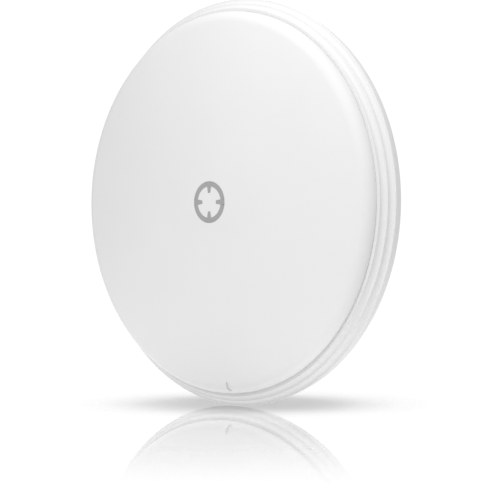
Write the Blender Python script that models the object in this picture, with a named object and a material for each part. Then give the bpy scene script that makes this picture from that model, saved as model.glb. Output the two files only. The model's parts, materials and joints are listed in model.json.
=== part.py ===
"""Shrouded round dish antenna with a domed cover, a tilting head and a clamp for a round pole.

World frame: +Z is up, the antenna looks along -Y, and the origin is on the axis of the pole that the clamp
grips, level with the middle of the dish.

Sizes are in millimetres. A place is given as (x, station, z), where the station is the distance behind the
rear edge of the rim. MM turns millimetres into metres when a mesh is made.
"""

import math

import bmesh
import bpy
from mathutils import Matrix, Vector

MM = 0.001
GAP = 0.3
TURNED_STEPS = 42
SMALL_STEPS = 28
FASTENER_STEPS = 12
SMOOTH_ANGLE = math.radians(32)

# Domed cover
COVER_RADIUS = 196.3
COVER_APEX = -52.0
SHOULDER_RADIUS = 12.9
SHOULDER_STATION = -25.7
COVER_WALL = 2.8
SKIRT_END = -16.6
SNAP_STATION = -19.4
SNAP_HEIGHT = 0.6
NOTCH_ANGLE = math.radians(-86.0)
NOTCH_LENGTH = 11.5
NOTCH_WIDTH = 5.4
NOTCH_DEPTH = 2.0
NOTCH_LEAN = 0.22

# Ribbed rim
RIM_RADIUS = 210.0
LIP_COUNT = 3
LIP_OUT = 5.0
LIP_BACK = 6.5
LAST_LIP_STATION = -11.7
COVE_RADIUS = 4.6
LIP_ROUND = 0.6
REAR_EDGE_RADIUS = 207.0
BOSS_INNER = 193.0
BOSS_OUTER = 202.0
BOSS_REAR = -4.8
LEDGE_STATION = -14.6

# Reflector
FOCAL_LENGTH = 112.0
APERTURE_RADIUS = 184.0
DISH_WALL = 1.5
FLANGE_STATION = -4.5
FLANGE_RADIUS = 203.9
DISH_HOLE = 27.3
DISH_STEPS = (DISH_HOLE, 38.0, 50.0, 80.0, 110.0, 140.0, 165.0, APERTURE_RADIUS)
VERTEX_STATION = FLANGE_STATION + APERTURE_RADIUS**2 / (4 * FOCAL_LENGTH)
RIM_SCREWS = 6
RIM_SCREW_CIRCLE = 197.5

# Hub and radio
HUB_RADIUS = 54.0
HUB_REAR = 79.0
HUB_BOLTS = ((32.0, 28.5), (-32.0, 28.5), (-32.0, -28.5), (32.0, -28.5))
TUBE_RADIUS = 24.0
TUBE_WALL = 2.2
TUBE_FRONT = -20.0
TUBE_REAR = 82.0
BOARD_HALF_WIDTH = 17.5
BOARD_THICKNESS = 1.6
BOARD_REAR = 98.0
HOUSING_FRONT = 83.7
HOUSING_REAR = 103.5
HOUSING_HALF_WIDTH = 25.0
HOUSING_TOP = 22.0
HOUSING_BOTTOM = -54.0
HOUSING_SCREWS = ((21.3, 18.3), (-21.3, 18.3), (-21.6, -48.0), (21.6, -48.0))
PORT_ROOF = -24.0
RESET_X = 12.5
RESET_STATION = 92.0
GROMMET_STATION = 93.2

# Tilting bracket and pole clamp
PIVOT_STATION = 108.0
LOCK_RADIUS = 26.0
TILT_LIMIT = math.radians(20)
HEAD_EAR_INSIDE = 42.0
HEAD_EAR_OUTSIDE = 45.0
POLE_EAR_INSIDE = 38.4
POLE_EAR_OUTSIDE = 41.7
POLE_AXIS_STATION = 153.0
POLE_RADIUS = 24.0
SADDLE_FRONT = 124.3
CLAMP_BOLT_X = 34.4
CLAMP_BOLT_END = 181.0


# Materials


def material(name, colour, roughness, metallic=0.0):
    made = bpy.data.materials.new(name)
    made.use_nodes = True
    shader = made.node_tree.nodes["Principled BSDF"]
    shader.inputs["Base Color"].default_value = (*colour, 1.0)
    shader.inputs["Roughness"].default_value = roughness
    shader.inputs["Metallic"].default_value = metallic
    return made


def make_materials():
    return {
        "white": material("white_plastic", (0.86, 0.87, 0.88), 0.42),
        "grey": material("grey_ink", (0.31, 0.31, 0.32), 0.5),
        "rubber": material("seal_rubber", (0.03, 0.03, 0.03), 0.8),
        "dish": material("white_painted_metal", (0.80, 0.81, 0.82), 0.45),
        "cast": material("cast_aluminium", (0.62, 0.63, 0.64), 0.5, 1.0),
        "sheet": material("bare_aluminium", (0.78, 0.78, 0.79), 0.35, 1.0),
        "steel": material("galvanised_steel", (0.58, 0.59, 0.60), 0.45, 1.0),
        "stainless": material("stainless_steel", (0.66, 0.66, 0.66), 0.28, 1.0),
        "board": material("green_board", (0.02, 0.16, 0.07), 0.5),
        "tin": material("tinned_steel", (0.72, 0.72, 0.70), 0.3, 1.0),
        "black": material("black_plastic", (0.02, 0.02, 0.02), 0.45),
        "lens": material("clear_lens", (0.75, 0.85, 0.95), 0.15),
    }


# Frames: each moving group hangs from an empty on its joint's axis


class Frame:
    """An empty at (x, station, z) that carries objects whose meshes are in (x, station, z)."""

    def __init__(self, name, x, station, z, parent=None):
        self.origin = Vector((x, station, z))
        self.empty = bpy.data.objects.new(name, None)
        bpy.context.scene.collection.objects.link(self.empty)
        start = Vector((0, POLE_AXIS_STATION, 0))
        if parent:
            self.empty.parent = parent.empty
            start = parent.origin
        self.empty.location = (self.origin - start) * MM

    def add(self, thing):
        thing.parent = self.empty
        thing.location = -self.origin * MM
        return thing


# Mesh making


def finish(mesh_data, name, frame, surface):
    """Turns a bmesh in millimetres into a smooth-shaded object that hangs from a frame."""
    bmesh.ops.recalc_face_normals(mesh_data, faces=mesh_data.faces)
    if mesh_data.calc_volume(signed=True) < 0:
        bmesh.ops.reverse_faces(mesh_data, faces=mesh_data.faces)
    mesh_data.transform(Matrix.Scale(MM, 4))
    mesh = bpy.data.meshes.new(name)
    mesh_data.to_mesh(mesh)
    mesh_data.free()
    mesh.shade_smooth()
    mesh.set_sharp_from_angle(angle=SMOOTH_ANGLE)
    made = bpy.data.objects.new(name, mesh)
    if surface:
        mesh.materials.append(surface)
    bpy.context.scene.collection.objects.link(made)
    return frame.add(made)


def hex_radius(flat_radius, angle):
    """Distance from the axis to a hexagon's side, in the direction of angle."""
    return flat_radius / math.cos((angle + math.radians(30)) % math.radians(60) - math.radians(30))


def turn_into(mesh_data, outline, steps, place):
    """Turns an outline of (radius, height, is_hex) round +Z; place is the matrix that puts it in position.

    An outline that starts and ends on the axis gives a solid, any other gives a ring.
    """
    loops = []
    for radius, height, is_hex in outline:
        if radius == 0:
            loops.append([mesh_data.verts.new(place @ Vector((0, 0, height)))])
            continue
        loop = []
        for step in range(steps):
            angle = 2 * math.pi * step / steps
            reach = hex_radius(radius, angle) if is_hex else radius
            point = Vector((reach * math.cos(angle), reach * math.sin(angle), height))
            loop.append(mesh_data.verts.new(place @ point))
        loops.append(loop)
    pairs = list(zip(loops, loops[1:]))
    if outline[0][0] != 0:
        pairs.append((loops[-1], loops[0]))
    for first, second in pairs:
        for step in range(steps):
            after = (step + 1) % steps
            corners = [first[step % len(first)], first[after % len(first)]]
            corners += [second[after % len(second)], second[step % len(second)]]
            mesh_data.faces.new(list(dict.fromkeys(corners)))


def along(axis, x=0.0, station=0.0, z=0.0):
    """The matrix that takes +Z to axis and the origin to (x, station, z)."""
    turn = Vector((0, 0, 1)).rotation_difference(Vector(axis)).to_matrix().to_4x4()
    return Matrix.Translation((x, station, z)) @ turn


def turned(name, frame, surface, outline, steps=TURNED_STEPS, place=None):
    """A piece turned round the dish's axis, or round the axis that place gives."""
    mesh_data = bmesh.new()
    place = place or along((0, 1, 0))
    turn_into(mesh_data, [(r, s, False) for r, s in outline], steps, place)
    return finish(mesh_data, name, frame, surface)


def extrude_into(mesh_data, outline, low, high, normal):
    """Extrudes a flat outline along x, y or z.

    The outline is (station, z) for normal x, (x, z) for normal y and (x, station) for normal z.
    """
    order = {"x": (2, 0, 1), "y": (0, 2, 1), "z": (0, 1, 2)}[normal]
    bottom = []
    for first, second in outline:
        values = (first, second, low)
        bottom.append(mesh_data.verts.new([values[index] for index in order]))
    face = mesh_data.faces.new(bottom)
    grown = bmesh.ops.extrude_face_region(mesh_data, geom=[face])["geom"]
    shift = Vector((0, 0, 0))
    shift["xyz".index(normal)] = high - low
    moved = [part for part in grown if isinstance(part, bmesh.types.BMVert)]
    bmesh.ops.translate(mesh_data, vec=shift, verts=moved)


def prism(name, frame, surface, outline, low, high, normal):
    mesh_data = bmesh.new()
    extrude_into(mesh_data, outline, low, high, normal)
    return finish(mesh_data, name, frame, surface)


def rectangle(low_x, high_x, low_z, high_z):
    return [(low_x, low_z), (high_x, low_z), (high_x, high_z), (low_x, high_z)]


def block(name, frame, surface, x_range, station_range, z_range):
    outline = rectangle(*x_range, *z_range)
    return prism(name, frame, surface, outline, *station_range, "y")


def arc(centre, radius, start, end, steps):
    """Points on an arc, angles in radians from the first coordinate towards the second."""
    points = []
    for step in range(steps + 1):
        angle = start + (end - start) * step / steps
        points.append((centre[0] + radius * math.cos(angle), centre[1] + radius * math.sin(angle)))
    return points


def rounded_rectangle(low_x, high_x, low_z, high_z, radius, steps=3):
    points = []
    quarter = math.pi / 2
    corners = [(high_x, high_z), (low_x, high_z), (low_x, low_z), (high_x, low_z)]
    for index, (corner_x, corner_z) in enumerate(corners):
        centre_x = corner_x - math.copysign(radius, corner_x - (low_x + high_x) / 2)
        centre_z = corner_z - math.copysign(radius, corner_z - (low_z + high_z) / 2)
        points += arc((centre_x, centre_z), radius, index * quarter, (index + 1) * quarter, steps)
    return points


def hull(points):
    """The outline of a tight string round flat points, counterclockwise."""
    ordered = sorted(set(points))
    sides = []
    for run in (ordered, ordered[::-1]):
        side = []
        for point in run:
            while len(side) > 1 and turns_right(side[-2], side[-1], point):
                side.pop()
            side.append(point)
        sides += side[:-1]
    return sides


def turns_right(first, second, third):
    across = (second[0] - first[0]) * (third[1] - first[1])
    return across - (second[1] - first[1]) * (third[0] - first[0]) <= 1e-6


def circle_points(centre, radius, steps=14):
    return arc(centre, radius, 0, 2 * math.pi, steps)[:-1]


# Cutting tools


def cutter(name, frame, mesh_data):
    made = finish(mesh_data, name, frame, None)
    made.hide_render = True
    made.display_type = "WIRE"
    return made


def drill(name, frame, axis, places, radius, low, high, steps=12, is_hex=False):
    """One cutter with a round or hexagonal bit at each place, from low to high along the axis."""
    mesh_data = bmesh.new()
    for x, station, z in places:
        start = along(axis, x, station, z)
        outline = [(0, low, False), (radius, low, is_hex), (radius, high, is_hex), (0, high, False)]
        turn_into(mesh_data, outline, steps, start)
    return cutter(name, frame, mesh_data)


def boxes(name, frame, ranges):
    """One cutter with a box for each (x range, station range, z range)."""
    mesh_data = bmesh.new()
    for x_range, station_range, z_range in ranges:
        extrude_into(mesh_data, rectangle(*x_range, *z_range), *station_range, "y")
    return cutter(name, frame, mesh_data)


def cut(target, tool, operation="DIFFERENCE"):
    step = target.modifiers.new(tool.name, "BOOLEAN")
    step.operation = operation
    step.object = tool
    step.solver = "EXACT"


# Fasteners: modelled with the underside of the head at the origin and the shank along -Z


def fastener(name, frame, surface, place, shank_radius, length, head_radius, head_height, is_hex, socket=0.0):
    """A bolt or a screw; socket is the flat-to-centre size of a hexagonal key socket, or 0 for none."""
    depth = head_height * 0.55
    outline = [(0, head_height, False)]
    if socket:
        outline = [(0, head_height - depth, False), (socket, head_height - depth, True)]
        outline.append((socket, head_height, True))
    outline += [(head_radius * 0.9, head_height, is_hex), (head_radius, head_height * 0.8, is_hex)]
    outline += [(head_radius, 0, is_hex), (shank_radius, 0, False)]
    outline += [(shank_radius, -length, False), (0, -length, False)]
    mesh_data = bmesh.new()
    turn_into(mesh_data, outline, FASTENER_STEPS, place)
    return finish(mesh_data, name, frame, surface)


def nut(name, frame, surface, place, bore, flat_radius, height):
    outline = [(bore, 0, False), (flat_radius, 0, True), (flat_radius, height * 0.85, True)]
    outline += [(flat_radius * 0.92, height, True), (bore, height, False)]
    mesh_data = bmesh.new()
    turn_into(mesh_data, outline, FASTENER_STEPS, place)
    return finish(mesh_data, name, frame, surface)


def washer(name, frame, surface, place, bore, radius, height):
    outline = [(bore, 0), (radius, 0), (radius, height), (bore, height)]
    return turned(name, frame, surface, outline, 24, place)


# Cover and rim


def dome():
    """The dome's radius, the station of its centre, and the angle at which the shoulder takes over."""
    reach = COVER_RADIUS - SHOULDER_RADIUS
    rise = SHOULDER_STATION - COVER_APEX
    radius = (reach**2 + rise**2 - SHOULDER_RADIUS**2) / (2 * (rise - SHOULDER_RADIUS))
    return radius, COVER_APEX + radius, math.asin(reach / (radius - SHOULDER_RADIUS))


def cover_face(inset):
    """Points of the cover's face from the axis to its side, moved inwards by inset."""
    radius, centre, meet = dome()
    points = []
    for step in range(6):
        angle = meet * step / 5
        reach = (radius - inset) * math.sin(angle)
        points.append((reach, centre - (radius - inset) * math.cos(angle)))
    for step in range(1, 6):
        angle = meet + (math.pi / 2 - meet) * step / 5
        reach = COVER_RADIUS - SHOULDER_RADIUS + (SHOULDER_RADIUS - inset) * math.sin(angle)
        points.append((reach, SHOULDER_STATION - (SHOULDER_RADIUS - inset) * math.cos(angle)))
    return points


def make_cover(frame, surfaces):
    skirt = [
        (COVER_RADIUS, SNAP_STATION - 1.0),
        (COVER_RADIUS + SNAP_HEIGHT, SNAP_STATION),
        (COVER_RADIUS, SNAP_STATION + 1.0),
        (COVER_RADIUS, SKIRT_END),
        (COVER_RADIUS - COVER_WALL, SKIRT_END),
    ]
    outline = cover_face(0) + skirt + cover_face(COVER_WALL)[::-1]
    made = turned("radome_cover", frame, surfaces["white"], outline)
    cut(made, notch_cutter(frame))
    return made


def notch_cutter(frame):
    """A blind slot with round ends, over the shoulder at the bottom: a blade in it pries the cover off."""
    radius, _, meet = dome()
    lean = meet + (math.pi / 2 - meet) * NOTCH_LEAN
    middle_radius = COVER_RADIUS - SHOULDER_RADIUS + SHOULDER_RADIUS * math.sin(lean)
    middle_station = SHOULDER_STATION - SHOULDER_RADIUS * math.cos(lean)
    half_width = NOTCH_WIDTH / 2
    half_run = NOTCH_LENGTH / 2 - half_width
    ends = arc((half_run, 0), half_width, -math.pi / 2, math.pi / 2, 4)
    ends += arc((-half_run, 0), half_width, math.pi / 2, 3 * math.pi / 2, 4)
    mesh_data = bmesh.new()
    extrude_into(mesh_data, ends, -NOTCH_DEPTH, 6.0, "z")
    outward = Vector((math.cos(NOTCH_ANGLE), 0, math.sin(NOTCH_ANGLE)))
    face_normal = (outward * math.sin(lean) + Vector((0, -math.cos(lean), 0))).normalized()
    run = (outward * math.cos(lean) + Vector((0, math.sin(lean), 0))).normalized()
    across = face_normal.cross(run)
    centre = outward * middle_radius + Vector((0, middle_station, 0))
    place = Matrix((run, across, face_normal)).transposed().to_4x4()
    mesh_data.transform(Matrix.Translation(centre) @ place)
    return cutter("notch_cutter", frame, mesh_data)


def lip(index):
    """Radius and station of a lip's crest; the last lip is the widest."""
    behind = LIP_COUNT - 1 - index
    return RIM_RADIUS - behind * LIP_OUT, LAST_LIP_STATION - behind * LIP_BACK


def rim_face():
    """The outside of the rim, from the seam with the cover back over the lips and their coves."""
    first_radius, first_station = lip(0)
    seam = COVER_RADIUS + 0.4
    points = [(seam, first_station + 0.5), (seam + 0.5, first_station)]
    for index in range(LIP_COUNT):
        radius, station = lip(index)
        points += [(radius - LIP_ROUND, station), (radius, station + LIP_ROUND)]
        if index < LIP_COUNT - 1:
            _, next_station = lip(index + 1)
            centre = (radius + COVE_RADIUS, next_station - COVE_RADIUS)
            points += arc(centre, COVE_RADIUS, math.pi, math.pi / 2, 3)[:-1]
    return points


def make_rim(frame, surfaces):
    seam = COVER_RADIUS + 0.4
    outline = rim_face() + [
        (REAR_EDGE_RADIUS + 0.3, -0.8),
        (REAR_EDGE_RADIUS - 0.4, 0),
        (REAR_EDGE_RADIUS - 2.4, 0),
        (REAR_EDGE_RADIUS - 0.2, -9.0),
        (BOSS_OUTER, -9.0),
        (BOSS_OUTER, BOSS_REAR),
        (BOSS_INNER, BOSS_REAR),
        (BOSS_INNER, LEDGE_STATION),
        (seam, LEDGE_STATION),
        (seam, SNAP_STATION + 1.3),
        (seam + SNAP_HEIGHT, SNAP_STATION),
        (seam, SNAP_STATION - 1.3),
    ]
    made = turned("rim_shroud", frame, surfaces["white"], outline)
    holes = drill("shroud_drill", frame, (0, 1, 0), rim_screw_places(), 1.9, -12.5, BOSS_REAR + 2)
    cut(made, holes)
    return made


def rim_screw_places():
    places = []
    for index in range(RIM_SCREWS):
        angle = math.radians(30) + 2 * math.pi * index / RIM_SCREWS
        places.append((RIM_SCREW_CIRCLE * math.cos(angle), 0, RIM_SCREW_CIRCLE * math.sin(angle)))
    return places


def make_rim_fittings(frame, surfaces):
    seal = rectangle(BOSS_INNER + 0.7, COVER_RADIUS - 0.1, SKIRT_END + GAP, LEDGE_STATION - GAP)
    turned("cover_seal", frame, surfaces["rubber"], seal)
    band = rectangle(BOSS_INNER - 1.7, BOSS_INNER - GAP, LEDGE_STATION + 0.2, FLANGE_STATION - 0.6)
    turned("rf_shield_band", frame, surfaces["sheet"], band)
    for number, (x, _, z) in enumerate(rim_screw_places(), 1):
        place = along((0, 1, 0), x, FLANGE_STATION + DISH_WALL + GAP, z)
        fastener(f"rim_screw_{number}", frame, surfaces["stainless"], place, 1.6, 9.3, 3.2, 2.2, False, 1.3)


def make_aim_mark(frame, surfaces):
    """A thin printed ring with four short ticks, at the middle of the cover."""
    outer = 21.5
    inner = 16.0
    tick_end = 9.5
    tick_half = math.asin(1.6 / inner)
    inside = []
    for index in range(4):
        middle = index * math.pi / 2
        away = tick_half + math.radians(2)
        inside += [(tick_end, middle - tick_half * inner / tick_end), (tick_end, middle + tick_half * inner / tick_end)]
        spread = math.pi / 2 - 2 * away
        inside += [(inner, middle + away + spread * step / 4) for step in range(5)]
    mesh_data = bmesh.new()
    fronts = []
    for station in (COVER_APEX - GAP - 0.4, COVER_APEX - GAP):
        inner_loop = []
        outer_loop = []
        for radius, angle in inside:
            direction = Vector((math.cos(angle), 0, math.sin(angle)))
            shift = Vector((0, station, 0))
            inner_loop.append(mesh_data.verts.new(direction * radius + shift))
            outer_loop.append(mesh_data.verts.new(direction * outer + shift))
        fronts.append((inner_loop, outer_loop))
    count = len(inside)
    for step in range(count):
        after = (step + 1) % count
        (front_in, front_out), (back_in, back_out) = fronts
        mesh_data.faces.new((front_in[step], front_in[after], front_out[after], front_out[step]))
        mesh_data.faces.new((back_in[step], back_out[step], back_out[after], back_in[after]))
        mesh_data.faces.new((front_in[step], back_in[step], back_in[after], front_in[after]))
        mesh_data.faces.new((front_out[step], front_out[after], back_out[after], back_out[step]))
    finish(mesh_data, "aim_mark", frame, surfaces["grey"])


# Reflector and hub


def dish_front(radius):
    return VERTEX_STATION - radius**2 / (4 * FOCAL_LENGTH)


def dish_rear(radius):
    """The point of the dish's rear face straight behind a point of its front face."""
    slope = radius / (2 * FOCAL_LENGTH)
    scale = DISH_WALL / math.hypot(1, slope)
    return radius + slope * scale, dish_front(radius) + scale


def make_dish(frame, surfaces):
    outline = [(radius, dish_front(radius)) for radius in DISH_STEPS]
    outline += [
        (FLANGE_RADIUS, FLANGE_STATION),
        (FLANGE_RADIUS, FLANGE_STATION + 3.7),
        (FLANGE_RADIUS - DISH_WALL, FLANGE_STATION + 3.7),
        (FLANGE_RADIUS - DISH_WALL, FLANGE_STATION + DISH_WALL),
        (APERTURE_RADIUS + 1.6, FLANGE_STATION + DISH_WALL),
    ]
    outline += [dish_rear(radius) for radius in reversed(DISH_STEPS)]
    made = turned("reflector_dish", frame, surfaces["dish"], outline)
    cut(made, drill("flange_drill", frame, (0, 1, 0), rim_screw_places(), 2.0, -8.0, 2.0))
    cut(made, drill("dish_drill", frame, (0, 1, 0), hub_bolt_places(), 2.8, 60.0, 80.0))
    return made


def hub_bolt_places():
    return [(x, 0, z) for x, z in HUB_BOLTS]


def make_hub(frame, surfaces):
    ring = [(27.8, dish_front(27.8) - GAP), (38.0, dish_front(38.0) - GAP), (49.5, dish_front(49.5) - GAP)]
    ring += [(radius, station - 3.0) for radius, station in reversed(ring)]
    clamp_ring = turned("dish_clamp_ring", frame, surfaces["sheet"], ring, SMALL_STEPS)
    cut(clamp_ring, drill("ring_drill", frame, (0, 1, 0), hub_bolt_places(), 2.8, 58.0, 72.0))

    fronts = [(27.5, 71.4), (38.3, dish_rear(38.0)[1] + GAP), (52.0, dish_rear(50.0)[1])]
    outline = [(TUBE_RADIUS + 0.5, 71.5)] + fronts
    outline += [(HUB_RADIUS, 68.5), (HUB_RADIUS, 77.0), (HUB_RADIUS - 2, HUB_REAR), (TUBE_RADIUS + 0.5, HUB_REAR)]
    plate = turned("hub_plate", frame, surfaces["cast"], outline, SMALL_STEPS)
    cut(plate, drill("hub_drill", frame, (0, 1, 0), hub_bolt_places(), 2.8, 60.0, 82.0))
    cut(plate, drill("ground_drill", frame, (0, 1, 0), [(0, 0, 45.5)], 2.3, 71.0, 82.0))

    for number, (x, z) in enumerate(HUB_BOLTS, 1):
        place = along((0, 1, 0), x, HUB_REAR + 3.6, z)
        fastener(f"hub_bolt_{number}", frame, surfaces["stainless"], place, 2.5, 19.5, 4.0, 4.0, True)
    place = along((0, 1, 0), 0, HUB_REAR + GAP, 45.5)
    fastener("ground_screw", frame, surfaces["stainless"], place, 2.0, 7.5, 4.2, 3.0, False, 1.6)


def make_head_bracket(frame, surfaces):
    """A pressed U: a base plate behind the hub and two ears with an arc slot each."""
    front = HUB_REAR + GAP
    rear = front + 3.0
    outside = HEAD_EAR_OUTSIDE
    inside = HEAD_EAR_INSIDE
    profile = [(-outside, front), (outside, front), (outside, 126.0), (inside, 126.0)]
    profile += [(inside, rear), (-inside, rear), (-inside, 126.0), (-outside, 126.0)]
    made = prism("head_bracket", frame, surfaces["steel"], profile, HOUSING_BOTTOM, 38.0, "z")

    ear = circle_points((PIVOT_STATION, 0), 13.0)
    for side in (-1, 1):
        angle = math.pi / 2 + side * TILT_LIMIT
        centre = (PIVOT_STATION + LOCK_RADIUS * math.cos(angle), LOCK_RADIUS * math.sin(angle))
        ear += circle_points(centre, 9.0)
    ear += [(rear, -30.0), (rear, 37.0)]
    shape = hull(ear)
    top = max(range(len(shape)), key=lambda index: (shape[index] == (rear, 37.0)))
    around = shape[top:] + shape[:top]
    bottom = around.index((rear, -30.0))
    path = around[bottom:] + around[:1]
    silhouette = [(front - 1, 39.0), (front - 1, HOUSING_BOTTOM - 1), (rear, HOUSING_BOTTOM - 1)] + path + [(rear, 39.0)]
    mesh_data = bmesh.new()
    extrude_into(mesh_data, silhouette, -50.0, 50.0, "x")
    cut(made, cutter("head_bracket_shape", frame, mesh_data), "INTERSECT")

    corners = [((side * 40.0 - 11.0, side * 40.0 + 11.0), (front - 2, rear + 2), (-60.0, -38.0)) for side in (-1, 1)]
    cut(made, boxes("head_bracket_corners", frame, corners))
    cut(made, drill("tube_drill", frame, (0, 1, 0), [(0, 0, 0)], TUBE_RADIUS + 0.4, front - 2, rear + 2, 32))
    cut(made, drill("bracket_drill", frame, (0, 1, 0), hub_bolt_places(), 2.8, front - 2, rear + 2))
    screws = [(x, 0, z) for x, z in HOUSING_SCREWS]
    cut(made, drill("bracket_screw_drill", frame, (0, 1, 0), screws, 1.7, front - 2, rear + 2))
    cut(made, drill("head_pivot_drill", frame, (1, 0, 0), [(0, PIVOT_STATION, 0)], 4.3, -60.0, 60.0, 24))
    cut(made, arc_slot(frame))
    return made


def arc_slot(frame):
    """A curved slot in both ears, one bolt wide, round the pivot."""
    half_width = 3.3
    middle = math.pi / 2
    outer = arc((PIVOT_STATION, 0), LOCK_RADIUS + half_width, middle - TILT_LIMIT, middle + TILT_LIMIT, 6)
    inner = arc((PIVOT_STATION, 0), LOCK_RADIUS - half_width, middle + TILT_LIMIT, middle - TILT_LIMIT, 6)
    ends = []
    for angle, start in ((middle + TILT_LIMIT, middle + TILT_LIMIT), (middle - TILT_LIMIT, -middle - TILT_LIMIT)):
        centre = (PIVOT_STATION + LOCK_RADIUS * math.cos(angle), LOCK_RADIUS * math.sin(angle))
        ends.append(arc(centre, half_width, start, start + math.pi, 5)[1:-1])
    mesh_data = bmesh.new()
    extrude_into(mesh_data, outer + ends[0] + inner + ends[1], -60.0, 60.0, "x")
    return cutter("arc_slot_cutter", frame, mesh_data)


# Feed and radio


def make_feed(frame, surfaces):
    inside = TUBE_RADIUS - TUBE_WALL
    tube = [
        (inside, TUBE_FRONT),
        (TUBE_RADIUS, TUBE_FRONT),
        (TUBE_RADIUS, 61.5),
        (29.5, 61.5),
        (29.5, 65.2),
        (TUBE_RADIUS, 65.2),
        (TUBE_RADIUS, TUBE_REAR),
        (inside, TUBE_REAR),
    ]
    turned("feed_tube", frame, surfaces["white"], tube, SMALL_STEPS)
    ring = rectangle(TUBE_RADIUS + 0.4, DISH_HOLE, 66.3, 69.0)
    turned("feed_o_ring", frame, surfaces["rubber"], ring, SMALL_STEPS)
    cap = [(0, -45.4), (20, -45.0), (31.2, -44.2), (32.8, -42.6), (32.8, -26.2), (26.0, -19.6), (26.0, -8.0)]
    cap += [(24.3, -8.0), (24.3, -20.5), (31.2, -27.0), (31.2, -42.0), (20, -43.2), (0, -43.6)]
    turned("feed_cap", frame, surfaces["white"], cap, SMALL_STEPS)
    splash = [(0, -41.7), (30.8, -41.7), (30.8, -40.2), (11.0, -38.6), (0, -30.5)]
    turned("sub_reflector", frame, surfaces["sheet"], splash, SMALL_STEPS)
    disc = [(0, -19.2), (21.2, -19.2), (21.2, -17.6), (0, -17.6)]
    turned("radiator_board", frame, surfaces["board"], disc, 24)
    arm = 10.0
    half = 0.8
    cross = [(arm, -half), (arm, half), (half, half), (half, arm), (-half, arm), (-half, half)]
    cross += [(-x, -z) for x, z in cross]
    prism("driven_element", frame, surfaces["tin"], cross, -28.0, -19.5, "y")


def make_radio(frame, surfaces):
    half = BOARD_THICKNESS / 2
    block("radio_board", frame, surfaces["board"], (-BOARD_HALF_WIDTH, BOARD_HALF_WIDTH), (-17.3, BOARD_REAR), (-half, half))
    block("rf_shield_can", frame, surfaces["tin"], (-13, 13), (5, 45), (half + GAP, 5.1))
    block("power_shield_can", frame, surfaces["tin"], (-13, 13), (50, 76), (half + GAP, 6.5))
    fins = [(-14, -half - GAP), (-14, -10)]
    for index in range(5):
        left = -14 + index * 6.4
        fins += [(left + 2.4, -10), (left + 2.4, -4)] if index < 4 else [(14, -10)]
        if index < 4:
            fins += [(left + 6.4, -4), (left + 6.4, -10)]
    fins.append((14, -half - GAP))
    prism("heat_spreader", frame, surfaces["sheet"], fins, 8.0, 70.0, "y")
    jack = block("ethernet_jack", frame, surfaces["tin"], (-8, 8), (84.8, 98.8), (-23.5, -half - GAP))
    cut(jack, boxes("jack_cutter", frame, [((-5.9, 5.9), (88.3, 95.3), (-26.0, -8.0))]))
    block("reset_switch", frame, surfaces["black"], (9.5, 15.5), (89, 95), (-5.1, -half - GAP))


def make_housing(frame, surfaces):
    """The rear shell: electronics in front and above, and below a port bay that opens to the rear."""
    outline = rounded_rectangle(-HOUSING_HALF_WIDTH, HOUSING_HALF_WIDTH, HOUSING_BOTTOM, HOUSING_TOP, 5.0)
    made = prism("radio_housing", frame, surfaces["white"], outline, HOUSING_FRONT, HOUSING_REAR, "y")
    room = [(-22.6, -21.5), (22.6, -21.5), (22.6, 12.6), (15.6, 19.6), (-15.6, 19.6), (-22.6, 12.6)]
    mesh_data = bmesh.new()
    extrude_into(mesh_data, room, 80.0, 99.6, "y")
    electronics = cutter("electronics_cutter", frame, mesh_data)
    cut(made, electronics)
    cut(made, boxes("bay_cutter", frame, [((-16.5, 16.5), (86.0, 108.0), (-51.6, PORT_ROOF))]))
    cut(made, boxes("groove_cutter", frame, [((-18.8, 18.8), (100.9, 102.2), (-60.0, -21.0))]))
    cut(made, boxes("slot_cutter", frame, [((-17.3, 17.3), (101.5, 108.0), (-60.0, -21.0))]))
    cut(made, boxes("jack_hole_cutter", frame, [((-8.4, 8.4), (84.4, 99.2), (-26.0, -20.0))]))
    cut(made, boxes("lens_cutter", frame, [((-8.0, 8.0), (98.0, 106.0), (8.0, 11.0))]))
    cut(made, drill("reset_drill", frame, (0, 0, 1), [(RESET_X, RESET_STATION, 0)], 2.1, -26.0, -20.0))
    cut(made, drill("cable_drill", frame, (0, 0, 1), [(0, GROMMET_STATION, 0)], 5.3, -58.0, -48.0))
    screws = [(x, 0, z) for x, z in HOUSING_SCREWS]
    screw_drill = drill("housing_drill", frame, (0, 1, 0), screws, 1.7, 80.0, 108.0)
    cut(made, screw_drill)

    gasket = prism("housing_gasket", frame, surfaces["rubber"], outline, HOUSING_FRONT - 1.1, HOUSING_FRONT - GAP, "y")
    cut(gasket, electronics)
    cut(gasket, screw_drill)

    for number, (x, z) in enumerate(HOUSING_SCREWS, 1):
        place = along((0, 1, 0), x, HOUSING_REAR + GAP, z)
        fastener(f"housing_screw_{number}", frame, surfaces["stainless"], place, 1.4, 23.3, 2.6, 2.0, False, 1.1)

    grommet = [(3.25, -55.8), (6.6, -55.8), (6.6, -54.3), (5.0, -54.3), (5.0, -51.3), (6.6, -51.3), (6.6, -49.9), (3.25, -49.9)]
    place = along((0, 0, 1), 0, GROMMET_STATION, 0)
    turned("cable_grommet", frame, surfaces["rubber"], grommet, 16, place)
    block("led_lens", frame, surfaces["lens"], (-7.7, 7.7), (99.9, 103.8), (8.3, 10.7))


def make_port_door(frame, surfaces):
    """A plate with thin edges that run in the housing's grooves; it slides down to bare the port."""
    thin = [(-18.5, 101.2), (18.5, 101.2), (18.5, 101.9), (17.0, 101.9), (17.0, 103.3)]
    outline = thin + [(-17.0, 103.3), (-17.0, 101.9), (-18.5, 101.9)]
    prism("port_door", frame, surfaces["white"], outline, HOUSING_BOTTOM + 0.2, -21.4, "z")


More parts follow.
